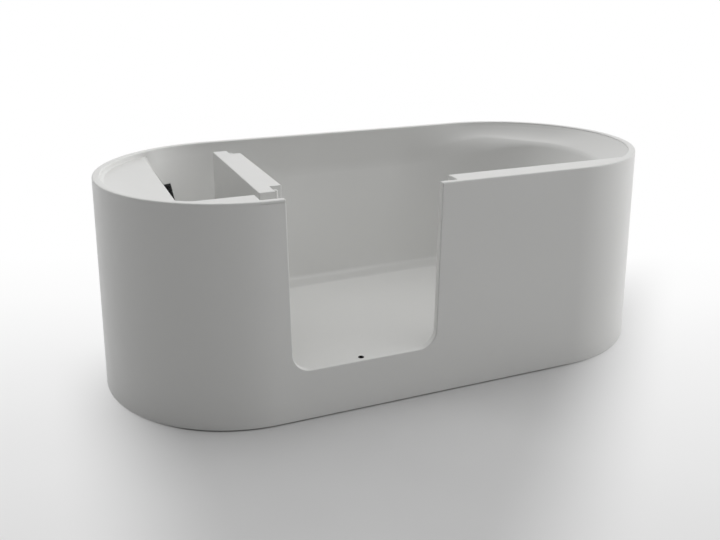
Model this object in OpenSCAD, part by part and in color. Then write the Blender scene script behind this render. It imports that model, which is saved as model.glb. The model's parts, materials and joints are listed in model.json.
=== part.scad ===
// Freestanding walk-in bathtub with an inward-opening plug door.
// X runs along the tub, -Y is the door side, Z is up. The origin is on the
// floor under the middle of the tub. All sizes are in millimetres.

/* [Shell] */
// Overall length of the tub
tub_l = 1700; // [1660:10:1800]
// Overall width, and twice the radius of both round ends
tub_w = 785; // [775:5:820]
// Height of the rim above the floor
tub_h = 610; // [600:5:640]
// Thickness of the outer skirt
skirt_t = 8; // [6:1:10]
// Open joint between the skirt and the floor
skirt_gap = 3; // [2:1:5]
// Thickness of the moulded basin
basin_t = 8; // [6:1:9]
// Width of the thin rim round the ends and the back
rim_w = 22; // [20:1:26]
// Width of the thick front wall, which holds the door
front_w = 75; // [72:1:82]
// Depth of the rim over the deck at the left end
deck_drop = 16; // [14:1:20]
// Thickness of the rim's flange on top of the skirt
flange_t = 8; // [6:1:9]
// Radius of the rounded rim edges
edge_r = 4; // [2:0.5:5]

/* [Basin] */
// Height of the basin floor at the middle of the tub
floor_z = 141; // [134:1:141]
// Fall of the floor towards the waste, per millimetre of length
floor_fall = 0.01; // [0.005:0.0025:0.015]
// Depth of the deck from the tub's left end
deck_w = 180; // [170:5:190]
// How far the back edge of the floor stands in from the rim
floor_back_in = 164; // [156:2:172]
// How far the headrest end of the floor stands in from the tub's end
floor_end_in = 362; // [350:2:380]
// Length of the round end of the floor
floor_end_r = 258; // [240:6:270]
// Depth of the soft crease along the back wall, below the rim
crease_drop = 115; // [100:5:130]
// Depth of the soft crease round the ends, below the rim
crease_end_drop = 62; // [52:2:74]
// How far the crease stands in from the rim along the back
crease_in = 20; // [16:1:26]
// How far the crease stands in from the rim at the headrest
headrest_in = 70; // [50:5:85]
// Size of the cove between the walls and the floor
cove = 26; // [20:1:34]
// Size of the cove at the foot of the headrest slope
cove_end = 62; // [45:1:75]

/* [Door opening] */
// Distance of the opening's left edge from the end of the straight wall
open_in = 24.5; // [18:0.5:30]
// Gap between the open door's free edge and the rim behind it
door_back_gap = 150; // [144:1:165]
// Height of the level threshold
sill_z = 142; // [142:1:150]
// Radius of the opening's lower corners
open_r = 52; // [45:1:70]
// Angle that each side of the opening leans in towards the threshold
open_draft = 1.45; // [0:0.05:2]
// Thickness of the lip that the door closes behind
lip_t = 19.5; // [18:0.5:21]
// Width of the rebate behind the lip, beside the hinges
rebate = 55; // [54:1:60]
// Width of the rebate behind the lip, at the door's free edge
rebate_free = 48.5; // [46:0.5:54]
// Thickness of the door surround's plates
frame_t = 12; // [8:1:14]

/* [Door] */
// Thickness of the outer panel, which plugs the opening
plug_t = 34; // [30:1:36]
// Gap between the outer panel and the opening
plug_gap = 5; // [4:0.5:7]
// Gap between the inner panel and the rebate at the free edge
leaf_gap = 9.5; // [8:0.5:12]
// Gap under the inner panel
leaf_lift = 8; // [6:1:10]
// Radius of the inner panel's lower corner at the free edge
leaf_r = 62; // [60:1:80]
// Angle that the door stands open at
door_open = 90; // [0:5:95]
// Width of the side seals
seal_w = 14; // [10:1:16]
// Distance of the side seals from the inner panel's edges
seal_in = 18; // [14:1:20]

/* [Hinges] */
// Distance of the hinge pin from the rebate's side
hinge_x = 8; // [7:0.5:10]
// Distance of the hinge pin from the wall's inner face
hinge_y = 8; // [7.5:0.5:9]
// Radius of the hinge knuckles
knuckle_r = 6.5; // [5.5:0.5:6.5]
// Radius of the hinge pins
pin_r = 3.5; // [2.5:0.25:4]
// Height of each hinge
hinge_h = 70; // [60:2:84]
// Height of the lower hinge's foot
hinge_low_z = 200; // [190:5:240]
// Distance of the upper hinge's top from the rim
hinge_top_in = 50; // [40:2:80]
// Width of the hinge leaves
hinge_leaf_w = 52; // [46:1:60]
// Thickness of the hinge leaves
hinge_leaf_t = 3; // [2.5:0.5:3]

/* [Waste and overflow] */
// Distance of the waste from the deck's edge
waste_in = 110; // [100:2:118]
// Inner radius of the waste tube
waste_r = 20; // [18:0.5:21]
// Radius of the waste flange
waste_flange_r = 35; // [33:0.5:37]
// Height that the plug rises
plug_travel = 9; // [6:1:12]
// Radius of the outlet pipe
outlet_r = 20; // [16:1:21]
// Depth of the overflow cover's middle below the rim
overflow_drop = 138; // [130:2:170]
// Side of the square overflow cover
overflow_w = 62; // [54:2:66]
// Distance of the overflow from the deck's edge, along the tub
overflow_in = 58; // [52:2:66]
// Radius of the overflow pipe
overflow_pipe_r = 12; // [9:1:13]
// Radius of the threshold drain's bore
drain_r = 5.5; // [4:0.5:6]

/* [Base] */
// Distance of the outer cross bars from the ends of the straight wall
bar_in = 57.5; // [50:2.5:80]
// Distance of the feet from the skirt
foot_in = 135; // [110:5:150]
// Radius of the foot pads
pad_r = 25; // [20:1:32]
// Height of the underside of the cross bars
bar_z = 55; // [54:1:58]
// Height and width of the steel tube
tube_s = 25; // [20:1:25]
// Wall of the steel tube
tube_t = 2; // [1.5:0.25:3]

/* [Hidden] */

$fn = 64;
eps = 0.01;
over = 2;

// Shell planes and radii
half_w = tub_w / 2;
end_x = tub_l / 2 - half_w;
rim_in_r = half_w - rim_w;
skirt_in_r = half_w - skirt_t;
front_in_y = front_w - half_w;
front_out_y = front_in_y - basin_t;
lip_in_y = lip_t - half_w;
back_in_y = rim_in_r;
deck_x = tub_l / 2 - deck_w;
floor_back_y = back_in_y - floor_back_in;
floor_mid = (floor_back_y + front_in_y) / 2;
floor_end_x = tub_l / 2 - floor_end_in - floor_end_r;
crease_z = tub_h - crease_drop;
crease_end_z = tub_h - crease_end_drop;
rim_z0 = tub_h - deck_drop;
deck_z0 = rim_z0 - basin_t;
skirt_top = tub_h - flange_t;

// The open door's leaf has to clear the back wall, so it sets the opening's width
open_x0 = open_in - end_x;
pocket_x0 = open_x0 - rebate;
pin_x = pocket_x0 + hinge_x;
pin_y = front_in_y + hinge_y;
leaf_x1 = pin_x + back_in_y - door_back_gap - pin_y;
pocket_x1 = leaf_x1 + leaf_gap;
open_x1 = pocket_x1 - rebate_free;

// Basin outline: how many stations each stretch of it has
n_front = 8;
n_round = 26;
n_back = 6;
n_arc = 5;
n_corner = 6;
n_left = 3;
round_slack = 0.6;
crease_soft = 24;
left_lean = 14;
corner_top_back = 18;
corner_top_front = 30;
corner_crease = 60;
corner_floor = 140;
arc_reach = 195;

// Door planes, with the door closed
leaf_set = knuckle_r + 0.5;
edge_set = 1.5;
door_in_y = pin_y - leaf_set;
plug_y1 = plug_t - half_w;
leaf_x0 = pin_x + edge_set;
leaf_z0 = sill_z + leaf_lift;
plug_z0 = sill_z + plug_gap;
door_edge_r = 3;
seal_gap = 0.3;
seal_drop = 10;
bottom_seal_w = 14;
bottom_seal_gap = 0.6;

// Hinge details
knuckle_gap = 1;
pin_play = 0.05;
pin_head_h = 2;
screw_r = 2;
screw_head_r = 4;
screw_head_h = 2;
screw_play = 0.05;
door_screw_l = 16;
plate_l = 90;
plate_w = 40;
plate_t = 3;
hinge_high_z = tub_h - hinge_top_in - hinge_h;

// Magnetic catch details
magnet_w = 12;
magnet_h = 40;
magnet_out = 6;
magnet_gap = 0.6;
magnet_up = 88;
magnet_down = 110;
magnet_z = [sill_z + magnet_up, tub_h - magnet_down];

// Waste details
waste_x = waste_in - deck_x;
waste_y = floor_mid;
waste_z = floor_z + floor_fall * waste_x;
seat_z = waste_z - 3.5;
boss_z = waste_z - basin_t - 8;
washer_t = 1.5;
under_washer_t = 3;
nut_t = 10;
waste_wall = 4;
waste_play = 0.3;
waste_out_r = waste_r + waste_wall;
plug_r = waste_flange_r - 4;
plug_plate_t = 3.5;
flange_top = seat_z + washer_t + 4.5;
dish_z = seat_z + washer_t + 2.5;
stem_r = 5;
trap_r = 42;
trap_z0 = 16;
trap_z1 = 66;
bend_r = 26;
outlet_z = 44;
outlet_run = 46;
outlet_end_z = 2;
pipe_wall = 2;
hose_steps = 5;
hose_sides = 12;
hose_bend = 45;

// Overflow details
overflow_z = tub_h - overflow_drop;
overflow_x = overflow_in - deck_x;
overflow_t = 4;
overflow_sink = 3;
overflow_body_w = overflow_w - 16;
overflow_body_d = 36;
gasket_t = 1.5;
overflow_low_z = 48;
overflow_slot = 5;

// Threshold drain details
drain_aside = 10;
drain_x = (open_x0 + open_x1) / 2 - drain_aside;
drain_y = lip_in_y + 1;
drain_flange_r = drain_r + 2.5;
drain_tube_r = drain_r + 1.2;
drain_low_z = 46;
drain_turn = 90;
drain_turn_x = waste_x + drain_turn;
hose_r = drain_r + 1.5;

// Base details
rail_in = [117.5, 106.5];
core_end = [27.5, 100];
core_in = [62.5, 56.5];
rail_ys = [front_in_y + rail_in[0], floor_back_y - rail_in[1]];
core_x = [core_end[0] - end_x, floor_end_x + core_end[1]];
core_y = [front_in_y + core_in[0], floor_back_y - core_in[1]];
bar_top = bar_z + tube_s;
rail_top = bar_top + tube_s;
rail_end = 17.5;
rail_half = end_x - rail_end;
bar_x = end_x - bar_in;
bar_xs = [-bar_x, 0, bar_x];
foot_y = skirt_in_r - foot_in;
bar_gap = 14;
bracket_t = 3;
bracket_w = 40;
bracket_leg = 55;
bracket_up = 40;
stud_r = 6;
core_gap = 0.2;
pad_h = 12;
nut_h = 8;
nut_r = 11;
bolt_r = 4;
bolt_head_h = 4;

// Colours
white = "#e6e5e3";
steel = "#b9bcc0";
black = "#1b1b1c";
rubber = "#dcdcda";
plastic = "#d2d3d4";

// ---- Plain helpers ----

function lerp(a, b, t) = a + (b - a) * t;
function arc(c, r, a0, a1, n) =
    [for (i = [0:n]) c + r * [cos(lerp(a0, a1, i / n)), sin(lerp(a0, a1, i / n))]];
function smooth(t) = let (u = min(1, max(0, t))) u * u * (3 - 2 * u);
function flat(lists) = [for (l = lists) for (v = l) v];
function bezier(a, b, c, t) = (1 - t) * (1 - t) * a + 2 * t * (1 - t) * b + t * t * c;
function toward(a, b, d) = a + (b - a) * min(0.9, d / norm(b - a));
function floor_at(x) = floor_z + floor_fall * x;

// Joins rings of equal length into one closed solid with flat end caps
module skin(rings) {
    n = len(rings[0]);
    last = (len(rings) - 1) * n;
    sides = [for (r = [0:len(rings) - 2]) for (i = [0:n - 1]) let (j = (i + 1) % n, a = r * n, b = a + n)
        each [[a + i, b + i, b + j], [a + i, b + j, a + j]]];
    caps = [[for (i = [0:n - 1]) i], [for (i = [n - 1:-1:0]) last + i]];
    polyhedron(points = flat(rings), faces = concat(sides, caps), convexity = 6);
}

// Sweeps a (radius, height) profile round the pill-shaped plan
module pill_sweep() {
    for (s = [0, 1]) {
        mirror([s, 0, 0]) translate([end_x, 0, 0]) rotate([0, 0, -90])
            rotate_extrude(angle = 180) children();
        mirror([0, s, 0]) translate([-end_x, 0, 0]) rotate([90, 0, 90])
            linear_extrude(2 * end_x) children();
    }
}

module pill_solid(r, z0, z1) {
    pill_sweep() translate([0, z0]) square([r, z1 - z0]);
}

module block(x, y, z) {
    translate([x[0], y[0], z[0]]) cube([x[1] - x[0], y[1] - y[0], z[1] - z[0]]);
}

// Extrudes an (x, z) outline from y0 to y1
module along_y(y0, y1) {
    translate([0, y1, 0]) rotate([90, 0, 0]) linear_extrude(y1 - y0) children();
}

// Rounds each inner corner of a route with a short curve
function rounded(points, r) = let (m = len(points))
    concat([points[0]],
        [for (i = [1:m - 2]) let (p = points[i], a = toward(p, points[i - 1], r), b = toward(p, points[i + 1], r))
            each [for (k = [0:hose_steps]) bezier(a, p, b, k / hose_steps)]],
        [points[m - 1]]);

// Sweeps a round hose along a route; side is a direction that the route never takes
module hose(points, r, side) {
    m = len(points);
    function heading(i) = let (d = points[min(m - 1, i + 1)] - points[max(0, i - 1)]) d / norm(d);
    skin([for (i = [0:m - 1]) let (t = heading(i), c = cross(t, side), u = c / norm(c), v = cross(t, u))
        [for (k = [0:hose_sides - 1]) let (a = 360 * k / hose_sides) points[i] + r * (cos(a) * u + sin(a) * v)]]);
}

// Turns what is drawn in the closed door's place to where the door stands
module on_door() {
    translate([pin_x, pin_y, 0]) rotate([0, 0, door_open]) translate([-pin_x, -pin_y, 0]) children();
}

// ---- Basin surface ----

// Plan outline of one level, anticlockwise from the front left corner.
// back: back wall, round_c and round_rx: right end, turn: how far the left
// end's arc runs, corner_b and corner_f: left corners, x_left: left wall
function outline(front, back, mid, round_c, round_rx, turn, corner_b, corner_f, x_left) =
    let (
        ry = back - mid,
        a0 = asin(max(-1, (front - mid) / ry)),
        x_front = round_c + round_rx * cos(a0),
        b_c = [x_left + corner_b, turn > 0 ? (back - corner_b) * cos(turn) : back - corner_b],
        arc_end = [-end_x - back * sin(turn), back * cos(turn)],
        flat_end = [x_left + corner_b, back]
    )
    concat(
        [for (i = [0:n_front - 1]) [lerp(x_left + corner_f, x_front, i / n_front), front]],
        [for (i = [0:n_round - 1]) let (a = lerp(a0, 90, i / n_round))
            [round_c + round_rx * cos(a), mid + ry * sin(a)]],
        [for (i = [0:n_back - 1]) [lerp(round_c, -end_x, i / n_back), back]],
        [for (i = [0:n_arc - 1]) turn > 0
            ? [-end_x - back * sin(turn * i / n_arc), back * cos(turn * i / n_arc)]
            : lerp([-end_x, back], flat_end, i / n_arc)],
        [for (i = [0:n_corner - 1]) let (a = lerp(90 + turn, 180, i / n_corner))
            b_c + corner_b * [cos(a), sin(a)]],
        [for (i = [0:n_left - 1]) [x_left, lerp(b_c[1], front + corner_f, i / n_left)]],
        [for (i = [0:n_corner - 1]) let (a = lerp(180, 270, i / n_corner))
            [x_left + corner_f, front + corner_f] + corner_f * [cos(a), sin(a)]]
    );

// Angle at which an arc of radius r about the left end reaches x = -limit
function arc_turn(r, corner) = asin((deck_x - corner - end_x) / (r - corner));

top_r = rim_in_r + round_slack;
crease_r = rim_in_r - crease_in;
top_line = outline(front_in_y, top_r, 0, end_x, top_r, arc_turn(top_r, corner_top_back),
    corner_top_back, corner_top_front, -deck_x);
crease_line = outline(front_in_y, crease_r, 0, end_x, rim_in_r - headrest_in,
    arc_turn(crease_r, corner_crease), corner_crease, corner_crease, -deck_x);
foot_line = outline(front_in_y, floor_back_y, floor_mid, floor_end_x, floor_end_r, 0,
    corner_floor, corner_crease, left_lean - deck_x);
cove_line = outline(front_in_y + cove, floor_back_y - cove, floor_mid, floor_end_x,
    floor_end_r - cove_end, 0, corner_floor - cove, corner_crease - cove, left_lean - deck_x + cove);

// The crease is low along the back wall and rises round both ends
rise_l_in = [217, 17];
rise_r_in = [67, -102];
rise_l = [end_x - rise_l_in[0], end_x - rise_l_in[1]];
rise_r = [end_x - rise_r_in[0], end_x - rise_r_in[1]];
function crease_at(x) = let (u = x < 0
        ? (-x - rise_l[0]) / (rise_l[1] - rise_l[0])
        : (x - rise_r[0]) / (rise_r[1] - rise_r[0]))
    lerp(crease_z, crease_end_z, smooth(u));

// Wall profile of one station, from the rim down to the floor
n_soft = 4;
n_cove = 5;
function station(i) = let (
        t = [top_line[i][0], top_line[i][1], rim_z0],
        k = [crease_line[i][0], crease_line[i][1], crease_at(crease_line[i][0])],
        b = [foot_line[i][0], foot_line[i][1], floor_at(foot_line[i][0])],
        f = [cove_line[i][0], cove_line[i][1], floor_at(cove_line[i][0])],
        k0 = toward(k, t, crease_soft),
        k1 = toward(k, b, crease_soft),
        w = toward(b, k, norm(f - b))
    )
    concat([t], [for (j = [0:n_soft]) bezier(k0, k, k1, j / n_soft)],
        [for (j = [0:n_cove]) bezier(w, b, f, j / n_cove)]);

n_st = len(top_line);
wall = [for (i = [0:n_st - 1]) station(i)];
n_lv = len(wall[0]);
inner_rings = [for (j = [0:n_lv - 1]) [for (i = [0:n_st - 1]) wall[i][j]]];

// The outer side lies a basin thickness out, turning to below at the floor
function out_point(ring, i, tip, t) = let (
        d = ring[(i + 1) % n_st] - ring[(i + n_st - 1) % n_st],
        m = norm([d[0], d[1]])
    )
    ring[i] + t * [d[1] / m * cos(tip), -d[0] / m * cos(tip), -sin(tip)];
outer_rings = [for (j = [0:n_lv - 1]) let (tip = 90 * max(0, (j - n_soft - 2)) / n_cove)
    [for (i = [0:n_st - 1]) out_point(inner_rings[j], i, tip, basin_t)]];

module basin_cup() {
    skin(concat([for (j = [n_lv - 1:-1:0]) outer_rings[j]], inner_rings));
}

// ---- Shell ----

module opening_outline(gap) {
    z0 = sill_z + gap;
    r = open_r - gap;
    lean = tan(open_draft);
    aside = gap / cos(open_draft);
    zr = z0 + r;
    in_r = aside + (tub_h - zr) * lean + r / cos(open_draft);
    polygon(concat([[open_x1 - aside + over * lean, tub_h + over], [open_x0 + aside - over * lean, tub_h + over]],
        arc([open_x0 + in_r, zr], r, 180 + open_draft, 270, 10),
        arc([open_x1 - in_r, zr], r, 270, 360 - open_draft, 10)));
}

module opening_cut() {
    along_y(-half_w - over, lip_in_y + eps) opening_outline(0);
}

module pocket_cut() {
    block([pocket_x0, pocket_x1], [lip_in_y, front_in_y + cove + over], [sill_z, tub_h + over]);
}

module outer_skirt() {
    r = edge_r / 2;
    color(white) difference() {
        pill_sweep() polygon(concat([[skirt_in_r, skirt_top], [skirt_in_r, skirt_gap]],
            arc([half_w - r, skirt_gap + r], r, -90, 0, 4), [[half_w, skirt_top]]));
        opening_cut();
    }
}

module rim_ring() {
    z = tub_h - edge_r;
    pill_sweep() polygon(concat([[rim_in_r, deck_z0], [skirt_in_r, deck_z0],
        [skirt_in_r, skirt_top], [half_w, skirt_top]],
        arc([half_w - edge_r, z], edge_r, 0, 90, 6), arc([rim_in_r + edge_r, z], edge_r, 90, 180, 6)));
}

module front_top() {
    y1 = front_in_y - edge_r;
    z0 = rim_z0 - basin_t / 2;
    intersection() {
        pill_solid(rim_in_r + edge_r, z0, tub_h);
        translate([-half_w - end_x, 0, 0]) rotate([90, 0, 90]) linear_extrude(tub_l)
            polygon(concat([[-half_w, z0], [front_in_y, z0]],
                arc([y1, tub_h - edge_r], edge_r, 0, 90, 6), [[-half_w, tub_h]]));
    }
}

module deck() {
    translate([0, 0, deck_z0]) linear_extrude(basin_t) difference() {
        intersection() {
            translate([-end_x, 0]) circle(rim_in_r + basin_t, $fn = 128);
            translate([-tub_l / 2, -half_w]) square([tub_l / 2 - deck_x + arc_reach / 4, tub_w]);
        }
        polygon([for (i = [0:n_st - 1]) let (p = out_point(inner_rings[0], i, 0, basin_t / 2)) [p[0], p[1]]]);
    }
}

module at_waste(z) {
    translate([waste_x, waste_y, z]) children();
}

module waste_boss() {
    at_waste(boss_z) cylinder(h = seat_z - boss_z + over / 2, r = waste_flange_r + 9);
}

module waste_cuts() {
    at_waste(seat_z) cylinder(h = 3 * over + cove, r = waste_flange_r + 2);
    at_waste(boss_z - over) cylinder(h = basin_t * 4, r = waste_out_r + waste_play);
}

// Overflow frame: X along the wall, Y up the wall, Z out into the basin
function wall_point(i) = let (
        k = [crease_line[i][0], crease_line[i][1], crease_at(crease_line[i][0])],
        b = [foot_line[i][0], foot_line[i][1], floor_at(foot_line[i][0])]
    )
    lerp(k, b, (k[2] - overflow_z) / (k[2] - b[2]));
of_first = n_front + n_round;
of_run = [for (i = [of_first:n_st - n_left - n_corner]) wall_point(i)];
of_i = max([for (i = [0:len(of_run) - 2]) of_run[i][0] >= overflow_x ? i : 0]);
of_a = of_run[of_i];
of_b = of_run[of_i + 1];
of_p = lerp(of_a, of_b, (of_a[0] - overflow_x) / (of_a[0] - of_b[0]));
of_turn = atan2(of_b[1] - of_a[1], of_b[0] - of_a[0]) + 90;
of_k = crease_line[of_first + of_i];
of_f = foot_line[of_first + of_i];
of_lean = atan(abs((of_k - of_f) * [cos(of_turn), sin(of_turn)]) / (crease_end_z - floor_z));
of_z_dir = [cos(of_turn) * cos(of_lean), sin(of_turn) * cos(of_lean), sin(of_lean)];
of_y_dir = [-cos(of_turn) * sin(of_lean), -sin(of_turn) * sin(of_lean), cos(of_lean)];
function of_world(y, z) = of_p + y * of_y_dir + z * of_z_dir;
module at_overflow() {
    translate(of_p) rotate([0, 0, of_turn + 90]) rotate([90 - of_lean, 0, 0]) children();
}

// A square slab of width w, from z0 to z1 off the wall
module overflow_slab(w, z0, z1) {
    at_overflow() translate([-w / 2, -w / 2, z0]) cube([w, w, z1 - z0]);
}

module overflow_pad() {
    overflow_slab(overflow_w + 16, -overflow_sink - basin_t, -overflow_sink);
}

module overflow_cuts() {
    overflow_slab(overflow_w + 1.5, -overflow_sink, basin_t * 2);
    overflow_slab(overflow_body_w + 1, -overflow_body_d, 0);
}

// Fills the slot between the threshold's plate and the cove at the front wall's foot
module sill_bar() {
    block([pocket_x0 - frame_t, pocket_x1 + frame_t], [front_out_y, front_in_y + basin_t * 0.45],
        [sill_z - basin_t, sill_z + basin_t / 4]);
}

module inner_basin() {
    color(white) difference() {
        union() {
            rim_ring();
            front_top();
            deck();
            basin_cup();
            waste_boss();
            overflow_pad();
            sill_bar();
        }
        opening_cut();
        pocket_cut();
        waste_cuts();
        overflow_cuts();
        frame_screws(screw_r + screw_play, basin_t + over);
    }
}

module door_surround() {
    color(white) difference() {
        intersection() {
            union() {
                block([pocket_x0 - frame_t, pocket_x1 + frame_t], [-skirt_in_r, lip_in_y],
                    [sill_z - frame_t, deck_z0]);
                for (x = [pocket_x0 - frame_t, pocket_x1])
                    block([x, x + frame_t], [lip_in_y - eps, front_out_y], [sill_z - frame_t, deck_z0]);
                block([pocket_x0, pocket_x1], [lip_in_y - eps, front_out_y], [sill_z - frame_t, sill_z]);
            }
            pill_solid(skirt_in_r, 0, tub_h);
        }
        opening_cut();
        translate([drain_x, drain_y, sill_z - frame_t - over])
            cylinder(h = frame_t + 2 * over, r = drain_tube_r + screw_play);
    }
}

// ---- Door ----

module door_outer_panel() {
    color(white) on_door() intersection() {
        along_y(-half_w, plug_y1) opening_outline(plug_gap);
        block([open_x0, open_x1], [-half_w, plug_y1], [sill_z, tub_h]);
    }
}

module leaf_outline() {
    r = door_edge_r * 4;
    polygon(concat([[leaf_x1, tub_h], [leaf_x0, tub_h]],
        arc([leaf_x0 + r, leaf_z0 + r], r, 180, 270, 5),
        arc([leaf_x1 - leaf_r, leaf_z0 + leaf_r], leaf_r, 270, 360, 12)));
}

module door_inner_panel() {
    color(white) on_door() difference() {
        along_y(plug_y1, door_in_y) leaf_outline();
        door_screws(screw_r + screw_play, door_screw_l + over / 2);
        magnet_blocks(plug_y1 + magnet_out, screw_play);
    }
}

// Ribbed bulb seals that press on the back of the lip
module door_side_seals() {
    y0 = lip_in_y + seal_gap;
    base_t = 4;
    r = seal_w / 2;
    color(rubber) on_door() for (x = [leaf_x0 + seal_in, leaf_x1 - seal_in - seal_w])
        translate([x, 0, leaf_z0 + leaf_r]) linear_extrude(tub_h - seal_drop - leaf_z0 - leaf_r) union() {
            translate([0, plug_y1 - base_t]) square([seal_w, base_t]);
            for (u = [0.12, 0.62])
                translate([u * seal_w, y0 + 1]) square([seal_w / 4, plug_y1 - base_t - y0 - 1 + eps]);
            translate([0, y0]) square([seal_w, base_t]);
        }
}

module door_bottom_seal() {
    color(rubber) on_door()
        block([leaf_x0 + door_edge_r * 4, leaf_x1 - leaf_r],
            [door_in_y - bottom_seal_w - 8, door_in_y - 8], [sill_z + bottom_seal_gap, leaf_z0]);
}

// ---- Hinges ----

hinge_zs = [hinge_low_z, hinge_high_z];
knuckle_h = (hinge_h - 2 * knuckle_gap) / 3;
screw_zs = [0.16, 0.84];
screw_us = [0.42, 0.8];

// Screw places on a leaf, as [distance from the pin, height]
leaf_holes = [for (u = screw_us) for (v = screw_zs) [u * hinge_leaf_w, v * hinge_h]];

module frame_screws(r, l) {
    for (z = hinge_zs) for (h = leaf_holes)
        translate([pin_x - h[0], front_in_y + eps, z + h[1]]) rotate([90, 0, 0]) cylinder(h = l, r = r, $fn = 24);
}

module door_screws(r, l) {
    for (z = hinge_zs) for (h = leaf_holes)
        translate([pin_x + h[0], door_in_y + eps, z + h[1]]) rotate([90, 0, 0]) cylinder(h = l, r = r, $fn = 24);
}

// One leaf: a plate on the face at y = face, and its knuckles round the pin
module hinge_leaf(z, side, face, lows) {
    clear = knuckle_r + 1;
    difference() {
        union() {
            for (k = [0:2]) {
                z0 = z + k * (knuckle_h + knuckle_gap);
                if (lows[k] == 1) {
                    translate([pin_x, pin_y, z0]) cylinder(h = knuckle_h, r = knuckle_r);
                    block([min(pin_x, pin_x + side * clear), max(pin_x, pin_x + side * clear)],
                        [face, face + hinge_leaf_t], [z0, z0 + knuckle_h]);
                }
            }
            block([min(pin_x + side * clear, pin_x + side * hinge_leaf_w),
                max(pin_x + side * clear, pin_x + side * hinge_leaf_w)],
                [face, face + hinge_leaf_t], [z, z + hinge_h]);
        }
        translate([pin_x, pin_y, z - over]) cylinder(h = hinge_h + 2 * over, r = pin_r + pin_play);
        for (h = leaf_holes) translate([pin_x + side * h[0], face - over, z + h[1]]) rotate([-90, 0, 0]) {
            cylinder(h = hinge_leaf_t + 2 * over, r = screw_r + screw_play, $fn = 24);
            translate([0, 0, over + hinge_leaf_t - screw_head_h])
                cylinder(h = screw_head_h + over, r = screw_head_r + screw_play, $fn = 24);
        }
    }
}

module hinge_pin(z) {
    color(steel) translate([pin_x, pin_y, z]) {
        cylinder(h = hinge_h, r = pin_r);
        translate([0, 0, hinge_h]) cylinder(h = pin_head_h, r = knuckle_r - 1);
    }
}

module lower_hinge_frame_leaf() {
    color(steel) hinge_leaf(hinge_low_z, -1, front_in_y, [1, 0, 1]);
}

module upper_hinge_frame_leaf() {
    color(steel) hinge_leaf(hinge_high_z, -1, front_in_y, [1, 0, 1]);
}

module lower_hinge_door_leaf() {
    color(steel) on_door() hinge_leaf(hinge_low_z, 1, door_in_y, [0, 1, 0]);
}

module upper_hinge_door_leaf() {
    color(steel) on_door() hinge_leaf(hinge_high_z, 1, door_in_y, [0, 1, 0]);
}

module lower_hinge_pin() {
    hinge_pin(hinge_low_z);
}

module upper_hinge_pin() {
    hinge_pin(hinge_high_z);
}

module screw_heads(x_side, face) {
    for (z = hinge_zs) for (h = leaf_holes)
        translate([pin_x + x_side * h[0], face + hinge_leaf_t - screw_head_h, z + h[1]]) rotate([-90, 0, 0])
            cylinder(h = screw_head_h, r = screw_head_r, $fn = 24);
}

module frame_hinge_screws() {
    color(steel) {
        screw_heads(-1, front_in_y);
        translate([0, hinge_leaf_t - screw_head_h, 0])
            frame_screws(screw_r, basin_t + hinge_leaf_t - screw_head_h);
    }
}

module door_hinge_screws() {
    color(steel) on_door() {
        screw_heads(1, door_in_y);
        translate([0, hinge_leaf_t - screw_head_h, 0]) door_screws(screw_r, door_screw_l);
    }
}

// Steel plates bonded behind the wall, which take the frame screws
module hinge_backing_plates() {
    color(steel) difference() {
        for (z = hinge_zs) {
            zm = z + hinge_h / 2;
            block([pocket_x0 - frame_t - plate_w, pocket_x0 - frame_t], [front_out_y - plate_t, front_out_y],
                [zm - plate_l / 2, zm + plate_l / 2]);
        }
        frame_screws(screw_r + screw_play, basin_t + plate_t + over);
    }
}

// ---- Magnetic catches ----

magnet_x = leaf_x1 - magnet_w - 2;

module magnet_blocks(y1, grow) {
    for (z = magnet_z) block([magnet_x - grow, magnet_x + magnet_w + grow],
        [plug_y1 - magnet_out, y1 + grow], [z - grow, z + magnet_h + grow]);
}

module door_magnets() {
    color(black) on_door() magnet_blocks(plug_y1 + magnet_out, 0);
}

module strike_plates() {
    color(steel) for (z = magnet_z) block([magnet_x, magnet_x + magnet_w],
        [lip_in_y, plug_y1 - magnet_out - magnet_gap], [z, z + magnet_h]);
}

// ---- Waste ----

module ring(z, h, r_out, r_in) {
    at_waste(z) difference() {
        cylinder(h = h, r = r_out);
        translate([0, 0, -over]) cylinder(h = h + 2 * over, r = r_in);
    }
}

module waste_flange() {
    color(steel) at_waste(0) difference() {
        union() {
            translate([0, 0, seat_z + washer_t])
                cylinder(h = flange_top - seat_z - washer_t, r1 = waste_flange_r, r2 = waste_flange_r - 1.5);
            translate([0, 0, trap_z1 + 2])
                cylinder(h = seat_z + washer_t - trap_z1 - 2 + eps, r = waste_out_r);
        }
        translate([0, 0, trap_z1]) cylinder(h = flange_top, r = waste_r);
        translate([0, 0, dish_z]) cylinder(h = flange_top, r = plug_r + 0.5);
    }
}

module waste_top_washer() {
    color(black) ring(seat_z, washer_t, waste_flange_r - 1, waste_out_r + waste_play);
}

module waste_under_washer() {
    color(black) ring(boss_z - under_washer_t, under_washer_t, waste_flange_r + 5, waste_out_r + waste_play);
}

module waste_backnut() {
    z = boss_z - under_washer_t - nut_t;
    color(plastic) at_waste(z) difference() {
        cylinder(h = nut_t, r = waste_flange_r + 6, $fn = 8);
        translate([0, 0, -over]) cylinder(h = nut_t + 2 * over, r = waste_out_r + waste_play);
    }
}

module waste_plug_guide() {
    arm = waste_r - 0.4;
    z = dish_z - 24;
    color(plastic) at_waste(z) difference() {
        union() {
            cylinder(h = 16, r = stem_r + 3);
            intersection() {
                cylinder(h = 5, r = arm);
                for (a = [0, 60, 120]) rotate([0, 0, a]) translate([-arm, -1.5, 0]) cube([2 * arm, 3, 5]);
            }
        }
        translate([0, 0, -over]) cylinder(h = 16 + 2 * over, r = stem_r + pin_play);
    }
}

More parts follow.
